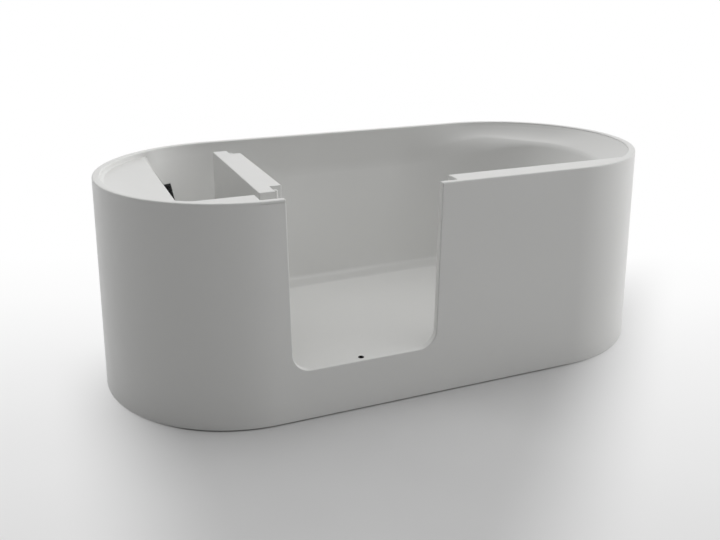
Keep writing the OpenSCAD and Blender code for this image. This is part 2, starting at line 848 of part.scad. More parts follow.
module waste_plug() {
    color(steel) at_waste(dish_z + 0.3) {
        cylinder(h = plug_plate_t - 1, r = plug_r);
        translate([0, 0, plug_plate_t - 1]) cylinder(h = 1, r1 = plug_r, r2 = plug_r - 2);
        translate([0, 0, -23]) cylinder(h = 23 + eps, r = stem_r);
    }
}

module trap_body() {
    inner = trap_r - pipe_wall;
    color(plastic) difference() {
        union() {
            at_waste(trap_z0) cylinder(h = trap_z1 - trap_z0, r = trap_r);
            at_waste(outlet_z) rotate([0, 90, 0]) cylinder(h = trap_r + outlet_run / 2, r = outlet_r);
            at_waste(drain_low_z) rotate([90, 0, 0]) cylinder(h = trap_r + 12, r = hose_r + pipe_wall);
            at_waste(overflow_low_z) rotate([-90, 0, 0])
                cylinder(h = trap_r + 12, r = overflow_pipe_r + pipe_wall);
        }
        at_waste(trap_z0 + pipe_wall) cylinder(h = trap_z1, r = inner - 8);
        at_waste(outlet_z) rotate([0, 90, 0]) cylinder(h = trap_r + outlet_run, r = outlet_r - pipe_wall);
        at_waste(drain_low_z) rotate([90, 0, 0]) cylinder(h = trap_r + 20, r = hose_r + waste_play / 2);
        at_waste(overflow_low_z) rotate([-90, 0, 0])
            cylinder(h = trap_r + 20, r = overflow_pipe_r + waste_play / 2);
    }
}

// Union nut that clamps the waste tube to the trap
module trap_nut() {
    color(plastic) at_waste(trap_z1) difference() {
        cylinder(h = nut_t, r = waste_out_r + 9, $fn = 12);
        translate([0, 0, -over]) cylinder(h = nut_t + 2 * over, r = waste_out_r + waste_play);
    }
}

module outlet_elbow() {
    x = waste_x + trap_r + outlet_run / 2;
    drop = outlet_z - bend_r - outlet_end_z;
    color(plastic) translate([x, waste_y, outlet_z - bend_r]) {
        rotate([90, 0, 0]) rotate_extrude(angle = 90) translate([bend_r, 0]) difference() {
            circle(outlet_r);
            circle(outlet_r - pipe_wall);
        }
        translate([bend_r, 0, -drop]) difference() {
            cylinder(h = drop, r = outlet_r);
            translate([0, 0, -over]) cylinder(h = drop + 2 * over, r = outlet_r - pipe_wall);
        }
    }
}

// ---- Overflow ----

of_back = -overflow_sink + gasket_t;

module overflow_cover() {
    w = overflow_w;
    color(black) difference() {
        overflow_slab(w, of_back, of_back + overflow_t);
        at_overflow() for (k = [-2:2])
            translate([-w / 2 + 8, k * 2 * overflow_slot - overflow_slot / 2, of_back - over])
                cube([w - 16, overflow_slot, overflow_t + 2 * over]);
    }
}

module overflow_gasket() {
    color(black) difference() {
        overflow_slab(overflow_w, -overflow_sink, of_back);
        overflow_slab(overflow_body_w + 1, -overflow_sink - over, of_back + over);
    }
}

module overflow_body() {
    w = overflow_body_w;
    color(black) difference() {
        overflow_slab(w, -overflow_sink - overflow_body_d, of_back);
        overflow_slab(w - 2 * pipe_wall, -overflow_sink - overflow_body_d + pipe_wall, of_back + over);
    }
}

of_pipe_r0 = skirt_in_r - overflow_pipe_r - 2;
of_pipe_turn = atan2(of_p[1], of_p[0] + end_x);
of_pipe_xy = [-end_x + of_pipe_r0 * cos(of_pipe_turn), of_pipe_r0 * sin(of_pipe_turn)];

module overflow_pipe() {
    depth = -overflow_sink - basin_t - overflow_pipe_r - 3;
    head = of_world(-overflow_body_w / 2, depth);
    neck = of_world(-overflow_body_w / 2 - overflow_pipe_r, depth);
    route = [head, neck, [of_pipe_xy[0], of_pipe_xy[1], neck[2] - 60],
        [of_pipe_xy[0], of_pipe_xy[1], overflow_low_z],
        [waste_x, waste_y + trap_r + 60, overflow_low_z],
        [waste_x, waste_y + trap_r + 1, overflow_low_z]];
    color(black) hose(rounded(route, hose_bend), overflow_pipe_r, [1, 0, 0]);
}

// ---- Threshold drain ----

module threshold_drain_bush() {
    color(black) translate([drain_x, drain_y, sill_z]) difference() {
        union() {
            cylinder(h = 0.8, r = drain_flange_r);
            translate([0, 0, -frame_t - 10]) cylinder(h = frame_t + 10 + eps, r = drain_tube_r);
        }
        translate([0, 0, -frame_t - 10 - over]) cylinder(h = frame_t + 14 + over, r = drain_r);
    }
}

module threshold_drain_hose() {
    route = [[drain_x, drain_y, sill_z - frame_t - 10], [drain_x, drain_y, drain_low_z],
        [drain_turn_x, drain_y, drain_low_z], [waste_x, waste_y - trap_r - 60, drain_low_z],
        [waste_x, waste_y - trap_r - 1, drain_low_z]];
    color(black) hose(rounded(route, hose_bend), hose_r, [1, 1, 0]);
}

// ---- Base ----

module floor_core() {
    color(plastic) along_y(core_y[0], core_y[1])
        polygon([[core_x[0], rail_top], [core_x[1], rail_top],
            [core_x[1], floor_at(core_x[1]) - basin_t - core_gap],
            [core_x[0], floor_at(core_x[0]) - basin_t - core_gap]]);
}

module base_rails() {
    color(steel) difference() {
        for (y = rail_ys) block([-rail_half, rail_half], [y - tube_s / 2, y + tube_s / 2], [bar_top, rail_top]);
        for (y = rail_ys) block([-rail_half - over, rail_half + over],
            [y - tube_s / 2 + tube_t, y + tube_s / 2 - tube_t], [bar_top + tube_t, rail_top - tube_t]);
        frame_bolt_shanks(bolt_r + screw_play);
    }
}

module frame_bolt_shanks(r) {
    for (x = bar_xs) for (y = rail_ys)
        translate([x, y, bar_z]) cylinder(h = tube_s + tube_t * 3, r = r, $fn = 24);
}

module frame_bolts() {
    color(steel) {
        frame_bolt_shanks(bolt_r);
        for (x = bar_xs) for (y = rail_ys)
            translate([x, y, bar_z - bolt_head_h]) cylinder(h = bolt_head_h, r = bolt_r * 1.8, $fn = 6);
    }
}

module cross_bars() {
    l = skirt_in_r - bar_gap;
    color(steel) difference() {
        for (x = bar_xs) block([x - tube_s / 2, x + tube_s / 2], [-l, l], [bar_z, bar_top]);
        for (x = bar_xs) block([x - tube_s / 2 + tube_t, x + tube_s / 2 - tube_t], [-l - over, l + over],
            [bar_z + tube_t, bar_top - tube_t]);
        frame_bolt_shanks(bolt_r + screw_play);
        foot_rods(bar_z - over, bar_top + over, stud_r + screw_play);
        bracket_rods(bar_top - tube_t - over, bar_top + over, screw_r + 1 + screw_play);
    }
}

module foot_rods(z0, z1, r) {
    for (x = bar_xs) for (s = [-1, 1]) translate([x, s * foot_y, z0]) cylinder(h = z1 - z0, r = r, $fn = 32);
}

module foot_studs() {
    color(steel) foot_rods(pad_h / 2, bar_top + nut_h + 4, stud_r);
}

module foot_pads() {
    color(black) difference() {
        for (x = bar_xs) for (s = [-1, 1]) translate([x, s * foot_y, 0]) {
            cylinder(h = pad_h / 2, r = pad_r);
            translate([0, 0, pad_h / 2]) cylinder(h = pad_h / 2, r1 = pad_r, r2 = pad_r / 2);
        }
        foot_rods(pad_h / 2, pad_h + over, stud_r + screw_play);
    }
}

module foot_nuts() {
    color(steel) difference() {
        for (x = bar_xs) for (s = [-1, 1]) for (z = [bar_z - nut_h, bar_top])
            translate([x, s * foot_y, z]) cylinder(h = nut_h, r = nut_r, $fn = 6);
        foot_rods(bar_z - nut_h - over, bar_top + nut_h + over, stud_r + screw_play);
    }
}

module bracket_rods(z0, z1, r) {
    for (x = bar_xs) for (s = [-1, 1])
        translate([x, s * (skirt_in_r - bracket_leg / 2 - bar_gap / 2), z0]) cylinder(h = z1 - z0, r = r, $fn = 24);
}

module skirt_brackets() {
    color(steel) difference() {
        for (x = bar_xs) for (s = [0, 1]) mirror([0, s, 0]) {
            block([x - bracket_w / 2, x + bracket_w / 2], [skirt_in_r - bracket_leg, skirt_in_r],
                [bar_top, bar_top + bracket_t]);
            block([x - bracket_w / 2, x + bracket_w / 2], [skirt_in_r - bracket_t, skirt_in_r],
                [bar_top, bar_top + bracket_up]);
        }
        bracket_rods(bar_top - over, bar_top + bracket_t + over, screw_r + 1 + screw_play);
    }
}

module bracket_screws() {
    color(steel) {
        bracket_rods(bar_top - tube_t - 1, bar_top + bracket_t + eps, screw_r + 1);
        bracket_rods(bar_top + bracket_t, bar_top + bracket_t + 3, screw_head_r + 2);
    }
}

outer_skirt();
inner_basin();
door_surround();
door_outer_panel();
door_inner_panel();
door_side_seals();
door_bottom_seal();
lower_hinge_frame_leaf();
lower_hinge_door_leaf();
lower_hinge_pin();
upper_hinge_frame_leaf();
upper_hinge_door_leaf();
upper_hinge_pin();
frame_hinge_screws();
door_hinge_screws();
hinge_backing_plates();
door_magnets();
strike_plates();
waste_flange();
waste_top_washer();
waste_under_washer();
waste_backnut();
waste_plug();
waste_plug_guide();
trap_body();
trap_nut();
outlet_elbow();
overflow_cover();
overflow_body();
overflow_gasket();
overflow_pipe();
threshold_drain_bush();
threshold_drain_hose();
floor_core();
base_rails();
cross_bars();
frame_bolts();
skirt_brackets();
bracket_screws();
foot_pads();
foot_studs();
foot_nuts();
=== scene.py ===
import json
import math

import bmesh
import bpy
from mathutils import Matrix, Vector


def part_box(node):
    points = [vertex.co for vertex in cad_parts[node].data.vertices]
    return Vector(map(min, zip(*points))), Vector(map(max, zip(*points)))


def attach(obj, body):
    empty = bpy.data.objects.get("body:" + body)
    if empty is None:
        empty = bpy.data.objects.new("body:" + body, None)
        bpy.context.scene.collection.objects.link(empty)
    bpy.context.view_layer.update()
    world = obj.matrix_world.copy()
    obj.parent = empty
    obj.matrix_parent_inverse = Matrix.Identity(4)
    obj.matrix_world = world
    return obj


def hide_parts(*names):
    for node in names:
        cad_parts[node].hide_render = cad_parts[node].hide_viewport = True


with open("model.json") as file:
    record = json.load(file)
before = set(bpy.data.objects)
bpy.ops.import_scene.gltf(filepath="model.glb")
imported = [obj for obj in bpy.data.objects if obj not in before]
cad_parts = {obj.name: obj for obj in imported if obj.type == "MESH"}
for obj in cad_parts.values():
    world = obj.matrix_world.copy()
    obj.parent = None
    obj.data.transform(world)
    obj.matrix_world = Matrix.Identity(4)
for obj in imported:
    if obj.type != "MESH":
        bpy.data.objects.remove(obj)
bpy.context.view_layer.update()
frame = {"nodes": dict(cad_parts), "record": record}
nodes = frame["nodes"]
scene = bpy.context.scene

# ------------------------ sizes, mm
# x runs along the tub, y from its front to its back, and z up from the floor

# the tub in plan: round ends of radius R about (-EX, 0) and (EX, 0), and straight sides between them
TUB_L, TUB_W, TUB_H = 1700.0, 785.0, 610.0
R = TUB_W / 2
EX = TUB_L / 2 - R
SHELL, EDGE = 8.0, 4.0          # the acrylic's thickness, and the rim's rounded edges
RIM_R = R - 22.0                # the rim's inner edge
SKIRT_R = R - SHELL             # the skirt's inner face
SEAM_Z = TUB_H - SHELL          # where the rim's edge meets the skirt
FRONT = 75.0 - R                # the front wall's inner face
LIP = 19.5 - R                  # the inner face of the doorway's lip
DECK_Z, DECK_X = TUB_H - 16.0, TUB_L / 2 - 180.0    # the deck's height, and its edge at x = -DECK_X

# the crease in the wall: its height along the back, at the deck and at the headrest
CREASE_Z, CREASE_END_Z, HEADREST_Z = TUB_H - 115.0, TUB_H - 62.0, TUB_H - 50.0
CREASE_R = RIM_R - 20.0
LEDGE_BACK, LEDGE_END = 102.0, 110.0    # how far inside the rim the headrest's ledge reaches
# at which |x| the crease starts to rise, and over how much it does so
RISE_LEFT, RISE_RIGHT = (EX - 217.0, 200.0), (200.0, 520.0)

# the floor, which falls towards the waste, and the cove at the foot of the wall
FLOOR_Z, FALL = 141.0, 0.01
FLOOR_BACK = RIM_R - 164.0
FLOOR_MID = (FLOOR_BACK + FRONT) / 2
FLOOR_END_R = 258.0
FLOOR_END_X = TUB_L / 2 - 362.0 - FLOOR_END_R
FLOOR_LEFT = 14.0 - DECK_X
COVE, COVE_END = 26.0, 62.0

# the doorway: threshold, sides at the rim's height, lower corners and lean, and the pocket behind its lip
SILL = 142.0
OPEN, OPEN_R = (-428.5, 5.5), 52.0
DRAFT = math.radians(1.3)
POCKET = (-488.0, 59.5)

# the door, closed: the hinges' axis, the outer panel's gap and back, the inner panel's sides, foot and back
PIN = (-480.0, -309.5)
GAP, PLUG_Y1 = 5.0, 34.0 - R
LEAF, LEAF_Z = (PIN[0] + 1.5, 50.0), SILL + 8
DOOR_IN = PIN[1] - 7.0

CUT_PAST = 40.0                 # how far a cutter reaches past what it cuts


def clamp(v, a=0.0, b=1.0):
    return max(a, min(b, v))


def lerp(a, b, t):
    if isinstance(a, (tuple, list)):
        return tuple(x + (y - x) * t for x, y in zip(a, b))
    return a + (b - a) * t


def smooth(t):
    t = clamp(t)
    return t * t * (3 - 2 * t)


def dist(a, b):
    return math.sqrt(sum((x - y) ** 2 for x, y in zip(a, b)))


def toward(a, b, d):
    """The point d from a on the way to b."""
    gap = dist(a, b)
    return lerp(a, b, min(0.9, d / gap)) if gap > 1e-6 else a


def bezier(a, b, c, t):
    return tuple((1 - t) ** 2 * p + 2 * t * (1 - t) * q + t * t * r for p, q, r in zip(a, b, c))


def cos_sin(degrees):
    return math.cos(math.radians(degrees)), math.sin(math.radians(degrees))


def arc(cx, cy, r, a0, a1, n):
    """n + 1 points on a circle, from a0 to a1 degrees."""
    turns = [cos_sin(lerp(a0, a1, i / n)) for i in range(n + 1)]
    return [(cx + r * c, cy + r * s) for c, s in turns]


def circle(cx, cy, r, n):
    return arc(cx, cy, r, 0, 360, n)[:-1]


# ------------------------ materials

NOISE_LOW, NOISE_HIGH = 0.3, 0.7    # the stretch of a noise's values that carries its look


def node_of(tree, kind, **settings):
    n = tree.nodes.new(kind)
    for key, v in settings.items():
        setattr(n, key, v)
    return n


def noise(t, scale, detail, rough=0.5, stretch=(1, 1, 1)):
    coord = node_of(t, "ShaderNodeTexCoord")
    tex = node_of(t, "ShaderNodeTexNoise")
    tex.inputs["Scale"].default_value = scale
    tex.inputs["Detail"].default_value = detail
    tex.inputs["Roughness"].default_value = rough
    mp = node_of(t, "ShaderNodeMapping")
    mp.inputs["Scale"].default_value = stretch
    t.links.new(coord.outputs["Object"], mp.inputs["Vector"])
    t.links.new(mp.outputs["Vector"], tex.inputs["Vector"])
    return tex.outputs["Fac"]


def span(t, source, low, high):
    """A noise's values, stretched to run from low to high."""
    mr = node_of(t, "ShaderNodeMapRange")
    mr.inputs["From Min"].default_value = NOISE_LOW
    mr.inputs["From Max"].default_value = NOISE_HIGH
    mr.inputs["To Min"].default_value = low
    mr.inputs["To Max"].default_value = high
    t.links.new(source, mr.inputs["Value"])
    return mr.outputs["Result"]


def two_tone(t, source, a, b):
    ramp = node_of(t, "ShaderNodeValToRGB")
    for stop, place, color in zip(ramp.color_ramp.elements, (NOISE_LOW, NOISE_HIGH), (a, b)):
        stop.position = place
        stop.color = (*color, 1)
    t.links.new(source, ramp.inputs["Fac"])
    return ramp.outputs["Color"]


def surface(name, tone_a, tone_b, rough, scale, depth, metallic=0.0, coat=0.0, grain=(1, 1, 1),
            strength=0.12):
    """A moulded, coated or metal surface: tone and roughness vary a little, and the grain is a fine bump."""
    m = bpy.data.materials.new(name)
    m.use_nodes = True
    m.diffuse_color = (*tone_a, 1)
    t = m.node_tree
    bsdf = t.nodes["Principled BSDF"]
    wide = noise(t, scale, 2.0, 0.45)
    fine = noise(t, scale * 14, 4.0, 0.55, grain)
    t.links.new(two_tone(t, wide, tone_a, tone_b), bsdf.inputs["Base Color"])
    t.links.new(span(t, fine, *rough), bsdf.inputs["Roughness"])
    bump = node_of(t, "ShaderNodeBump")
    bump.inputs["Strength"].default_value = strength
    bump.inputs["Distance"].default_value = depth
    t.links.new(fine, bump.inputs["Height"])
    t.links.new(bump.outputs["Normal"], bsdf.inputs["Normal"])
    bsdf.inputs["Metallic"].default_value = metallic
    bsdf.inputs["Coat Weight"].default_value = coat
    bsdf.inputs["Coat Roughness"].default_value = 0.18
    return m


# by material slot: two tones, a range of roughness, the noise's scale and the bump's depth in m
LOOKS = {
    "acrylic_white": ((0.735, 0.735, 0.72), (0.765, 0.765, 0.75), (0.34, 0.42), 1.6, 0.0002),
    "stainless": ((0.56, 0.57, 0.58), (0.64, 0.65, 0.66), (0.26, 0.4), 9.0, 0.0002),
    "polished_steel": ((0.74, 0.75, 0.76), (0.80, 0.81, 0.82), (0.08, 0.16), 8.0, 0.0001),
    "zinc_steel": ((0.42, 0.44, 0.46), (0.56, 0.58, 0.60), (0.38, 0.55), 11.0, 0.0004),
    "seal_white": ((0.70, 0.70, 0.685), (0.76, 0.76, 0.745), (0.48, 0.6), 14.0, 0.0004),
    "rubber_black": ((0.018, 0.018, 0.018), (0.035, 0.035, 0.035), (0.6, 0.8), 20.0, 0.0006),
    "black_plastic": ((0.012, 0.012, 0.013), (0.022, 0.022, 0.024), (0.32, 0.45), 15.0, 0.0004),
    "white_plastic": ((0.66, 0.67, 0.67), (0.72, 0.73, 0.73), (0.4, 0.52), 10.0, 0.0004),
    "core_foam": ((0.52, 0.48, 0.38), (0.64, 0.60, 0.50), (0.75, 0.92), 24.0, 0.003),
    "magnet_dark": ((0.05, 0.05, 0.055), (0.09, 0.09, 0.095), (0.35, 0.5), 18.0, 0.0003),
}
EXTRAS = {
    "acrylic_white": {"coat": 0.12, "strength": 0.05},
    "stainless": {"metallic": 1.0, "grain": (1, 1, 14)},
    "polished_steel": {"metallic": 1.0},
    "zinc_steel": {"metallic": 0.85},
    "magnet_dark": {"metallic": 0.6},
}
MATS = {slot: surface(slot, *look, **EXTRAS.get(slot, {})) for slot, look in LOOKS.items()}
# the black plastic is matt and hardly mirrors the bright room
matt = MATS["black_plastic"].node_tree.nodes["Principled BSDF"]
matt.inputs["Specular IOR Level"].default_value = 0.12

for part in frame["record"]["subparts"]:
    o = nodes[part["node"]]
    o.data.materials.clear()
    o.data.materials.append(MATS[part["material_slot"]])

# ------------------------ mesh helpers

MM = 0.001
WELD, CUT_WELD = 2e-6, 5e-6     # points closer than this, in m, are one: as made, and after the cuts
SHORTEST = 2e-5                 # the shortest edge that is rounded, in m
FLAT_TURN = 0.0008              # faces that turn by less than this, in radians, are one flat area
CORNER_TURN, SHADE_TURN = 50.0, 34.0    # edges that turn by more, in degrees, are rounded, or shaded sharp


def mesh_object(name, points, faces, slot=None):
    """Points are in millimetres."""
    me = bpy.data.meshes.new(name)
    me.from_pydata([(x * MM, y * MM, z * MM) for x, y, z in points], [], faces)
    me.update()
    ob = bpy.data.objects.new(name, me)
    scene.collection.objects.link(ob)
    bm = bmesh.new()
    bm.from_mesh(me)
    bmesh.ops.remove_doubles(bm, verts=bm.verts, dist=WELD)
    bmesh.ops.dissolve_degenerate(bm, dist=WELD, edges=bm.edges)
    bmesh.ops.recalc_face_normals(bm, faces=bm.faces)
    bm.to_mesh(me)
    bm.free()
    if slot:
        me.materials.append(MATS[slot])
    return ob


def grid(rows, closed_rows=True):
    """Points and faces over rows of equal length. Each row is a closed loop, and the last row meets the first
    or else both are capped."""
    n = len(rows[0])
    points = [p for r in rows for p in r]
    faces = []
    for j in range(len(rows) if closed_rows else len(rows) - 1):
        a, b = j * n, ((j + 1) % len(rows)) * n
        for i in range(n):
            k = (i + 1) % n
            faces.append((a + i, a + k, b + k, b + i))
    if not closed_rows:
        faces.append(tuple(range(n)))
        faces.append(tuple(reversed(range((len(rows) - 1) * n, len(rows) * n))))
    return points, faces


def prism(name, shape, lo, hi, axis="y"):
    """A cutter: a shape extruded along y (its points are x, z) or along z (its points are x, y)."""
    if axis == "y":
        rows = [[(x, v, z) for x, z in shape] for v in (lo, hi)]
    else:
        rows = [[(x, y, v) for x, y in shape] for v in (lo, hi)]
    return mesh_object(name, *grid(rows, closed_rows=False))


def cut(ob, *cutters):
    for c in cutters:
        mod = ob.modifiers.new("cut", "BOOLEAN")
        mod.operation = "DIFFERENCE"
        mod.solver = "MANIFOLD"
        mod.object = c
        dg = bpy.context.evaluated_depsgraph_get()
        me = bpy.data.meshes.new_from_object(ob.evaluated_get(dg))
        ob.modifiers.clear()
        old = ob.data
        ob.data = me
        bpy.data.meshes.remove(old)


def discard(*obs):
    for o in obs:
        me = o.data
        bpy.data.objects.remove(o)
        bpy.data.meshes.remove(me)


def placed(ob, matrix):
    ob.data.transform(matrix)
    return ob


def soften(ob, width, test, segments):
    """Rounds the sharp edges whose two ends pass the test, which reads a point in millimetres."""
    bm = bmesh.new()
    bm.from_mesh(ob.data)
    bmesh.ops.remove_doubles(bm, verts=bm.verts, dist=CUT_WELD)
    # flat areas become single faces, so that the cuts leave no slivers beside the edges
    bmesh.ops.dissolve_limit(bm, angle_limit=FLAT_TURN, verts=bm.verts, edges=bm.edges)
    edges = []
    for e in bm.edges:
        if len(e.link_faces) != 2 or e.calc_length() < SHORTEST:
            continue
        if math.degrees(e.calc_face_angle(0)) < CORNER_TURN or not e.is_convex:
            continue
        if all(test(*(c * 1000 for c in v.co)) for v in e.verts):
            edges.append(e)
    bmesh.ops.bevel(bm, geom=edges, offset=width * MM, offset_type="OFFSET", segments=segments, profile=0.5,
                    affect="EDGES", clamp_overlap=False)
    bm.to_mesh(ob.data)
    bm.free()


def finish_piece(ob, body, replaced=()):
    ob.data.shade_smooth()
    ob.data.set_sharp_from_angle(angle=math.radians(SHADE_TURN))
    w = ob.modifiers.new("normals", "WEIGHTED_NORMAL")
    w.keep_sharp = True
    w.weight = 60
    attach(ob, body)
    if replaced:
        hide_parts(*replaced)
    return ob


# ------------------------ the basin's plan outlines

# steps along the front line, the right end, the back line, the left end's arc, a left corner, the left line
NF, NR, NB, NA, NC, NL = 48, 72, 32, 14, 12, 24
DECK_FIRST = NF + NR + NB + NA      # from this station on, an outline runs along the deck
DECK_STEPS = NC + NL + NC
NST = DECK_FIRST + DECK_STEPS

TOP_CORNER_BACK, TOP_CORNER_FRONT = 18.0, 30.0
CREASE_CORNER = 60.0
FOOT_CORNER_BACK, FOOT_CORNER_FRONT = 140.0, 60.0


def outline(front, back, left, mid, end_x, end_r, turn, corner_back, corner_front):
    """A closed outline of NST points, from the front line's left end rightwards. Its right end is an arc
    round (end_x, mid), and end_r is the arc's radius along x. At the left, the back line follows the tub's
    round end for turn degrees, and then two corners lead into the line x = left."""
    reach = back - mid
    a0 = math.degrees(math.asin(max(-1.0, (front - mid) / reach)))
    x_front = end_x + end_r * math.cos(math.radians(a0))
    t = math.radians(turn)
    cx, cy = left + corner_back, (back - corner_back) * math.cos(t)
    out = [(lerp(left + corner_front, x_front, i / NF), front) for i in range(NF)]
    for i in range(NR):
        c, s = cos_sin(lerp(a0, 90, i / NR))
        out.append((end_x + end_r * c, mid + reach * s))
    out += [(lerp(end_x, -EX, i / NB), back) for i in range(NB)]
    for i in range(NA):
        if turn > 0:
            a = t * i / NA
            out.append((-EX - back * math.sin(a), back * math.cos(a)))
        else:
            out.append(lerp((-EX, back), (cx, back), i / NA))
    out += arc(cx, cy, corner_back, 90 + turn, 180, NC)[:-1]
    out += [(left, lerp(cy, front + corner_front, i / NL)) for i in range(NL)]
    out += arc(left + corner_front, front + corner_front, corner_front, 180, 270, NC)[:-1]
    return out


def arc_turn(r, corner):
    """Degrees by which an outline follows the tub's left end before its corner at the deck's edge."""
    return math.degrees(math.asin((DECK_X - corner - EX) / (r - corner)))


def rise_at(x):
    """0 along the tub's middle, where the crease is low, and 1 near the ends, where it has risen."""
    start, length = RISE_LEFT if x < 0 else RISE_RIGHT
    return smooth((abs(x) - start) / length)


def crease_at(x):
    return lerp(CREASE_Z, CREASE_END_Z if x < 0 else HEADREST_Z, rise_at(x))


def ledged(x, y):
    """At the headrest the crease comes in, which leaves a sloping ledge."""
    if x > 0 and y > 0:
        return (x, y * lerp(1, (RIM_R - LEDGE_BACK) / CREASE_R, rise_at(x)))
    return (x, y)


def floor_at(x):
    return FLOOR_Z + FALL * x


TOP = outline(FRONT, RIM_R, -DECK_X, 0, EX, RIM_R, arc_turn(RIM_R, TOP_CORNER_BACK),
              TOP_CORNER_BACK, TOP_CORNER_FRONT)
CREASE = outline(FRONT, CREASE_R, -DECK_X, 0, EX, RIM_R - LEDGE_END, arc_turn(CREASE_R, CREASE_CORNER),
                 CREASE_CORNER, CREASE_CORNER)
CREASE = [ledged(x, y) for x, y in CREASE]
FOOT = outline(FRONT, FLOOR_BACK, FLOOR_LEFT, FLOOR_MID, FLOOR_END_X, FLOOR_END_R, 0,
               FOOT_CORNER_BACK, FOOT_CORNER_FRONT)
FLAT = outline(FRONT + COVE, FLOOR_BACK - COVE, FLOOR_LEFT + COVE, FLOOR_MID, FLOOR_END_X,
               FLOOR_END_R - COVE_END, 0, FOOT_CORNER_BACK - COVE, FOOT_CORNER_FRONT - COVE)


def plan_normal(ring, i):
    """Unit vector away from the tub's middle, in plan."""
    a, b = ring[(i + 1) % len(ring)], ring[(i - 1) % len(ring)]
    dx, dy = a[0] - b[0], a[1] - b[1]
    m = math.hypot(dx, dy) or 1.0
    return (dy / m, -dx / m)


def on_front(p):
    return abs(p[1] - FRONT) < 0.5


# ------------------------ the basin's wall

SOFT_N, COVE_N = 10, 9          # steps over the crease, and over the cove

# half the width over which the crease is rounded: in general, and on the ledge at its end and behind
SOFT_W, SOFT_LEDGE_END, SOFT_LEDGE_BACK = 22.0, 13.0, 46.0
SOFT_END_X, SOFT_OVER = 670.0, 170.0    # where the ledge's crease is crisp, and over how much x it changes
# how hollow the wall is above the crease, as a share of its depth in plan: in general, and on the ledge
SAG, SAG_LEDGE_FRONT, SAG_LEDGE_BACK = 0.2, 0.02, 0.21
SAG_OVER = 160.0                # how far behind the middle the ledge has its full sag
HOLLOW_AT = 0.42                # where the hollow is deepest, from the top to the crease

# the soft step at the wall's foot. Heights are in step sizes, and ways in are shares of the cove's width.
STEP_D = 26.0
STEP_TOP_UP, STEP_TOP_IN = 1.42, 0.32
BROW_UP, BROW_IN = 0.77, 0.29
STEP_LOW_IN = 0.84
STEP_ROUND, BROW_ROUND = 6.0, 8.0
STEP_OUT_COVE, STEP_OUT_X = (52.0, 20.0), (-430.0, 130.0)   # where it has run out, and over how much


def step_at(cove, x):
    """The foot's step runs out before the sloping end and where the open door's edge comes near."""
    wide, near = STEP_OUT_COVE, STEP_OUT_X
    return smooth((wide[0] - cove) / wide[1]) * smooth((x - near[0]) / near[1])


def upper_wall(t, k, b):
    """Points from the wall's top t over the soft crease k and a little on towards its foot b."""
    led = rise_at(k[0]) if k[0] > 0 else 0.0
    ledge_soft = lerp(SOFT_LEDGE_END, SOFT_LEDGE_BACK, smooth((SOFT_END_X - k[0]) / SOFT_OVER))
    soft = lerp(SOFT_W, ledge_soft, led)
    sag = lerp(SAG, lerp(SAG_LEDGE_FRONT, SAG_LEDGE_BACK, smooth(k[1] / SAG_OVER)), led)
    k0, k1 = toward(k, t, soft), toward(k, b, soft)
    x, y, z = lerp(t, k0, HOLLOW_AT)
    hollow = (x, y, z - sag * math.hypot(k[0] - t[0], k[1] - t[1]))
    points = [bezier(t, hollow, k0, u) for u in (0, 0.12, 0.28, 0.46, 0.64, 0.82)]
    return points + [bezier(k0, k, k1, j / SOFT_N) for j in range(SOFT_N + 1)]


def wall_foot(k, b, f):
    """Points down to the flat floor's edge f: a soft step, or a plain cove where that has run out."""
    cove = dist(f, b)
    stepped = step_at(cove, b[0])
    top = toward(lerp(b, f, STEP_TOP_IN * stepped), k, lerp(cove, STEP_TOP_UP * STEP_D, stepped))
    plain = [bezier(top, b, f, j / COVE_N) for j in range(COVE_N + 1)]
    low = lerp(b, f, STEP_LOW_IN)
    brow = (*lerp(b, f, BROW_IN)[:2], b[2] + BROW_UP * STEP_D)
    before, after = toward(brow, top, STEP_ROUND), toward(brow, low, BROW_ROUND)
    step = [top] + [bezier(before, brow, after, u) for u in (0, 0.33, 0.67, 1)]
    step += [bezier(toward(low, brow, STEP_ROUND), low, f, u) for u in (0, 0.3, 0.55, 0.78, 1)]
    return [lerp(p, q, stepped) for p, q in zip(plain, step)]


def on_deck(i):
    return i >= DECK_FIRST


def wall_rows():
    """Rows from under the rim, and from the deck's level, down to the flat floor's edge."""
    cols = []
    for i in range(NST):
        t = (*TOP[i], DECK_Z if on_deck(i) else TUB_H - EDGE)
        k = (*CREASE[i], crease_at(CREASE[i][0]))
        b = (*FOOT[i], floor_at(FOOT[i][0]))
        f = (*FLAT[i], floor_at(FLAT[i][0]))
        upper, foot = upper_wall(t, k, b), wall_foot(k, b, f)
        between = [lerp(upper[-1], foot[0], u) for u in (0.12, 0.3, 0.5, 0.7, 0.88)]
        cols.append(upper + between + foot)
    return [list(row) for row in zip(*cols)]


# ------------------------ the basin's rim and deck

QUARTER = (0, 22.5, 45, 67.5, 90)
RIM_FILLET = 24.0               # the rim's inner edge, in the corner of the deck and the front wall
DECK_FILLET, DECK_ROUND = 11.0, 6.0     # where the deck meets the rim, and its edge over the cavity
DECK_SHARE = 0.4                # neither takes more than this share of the deck's depth


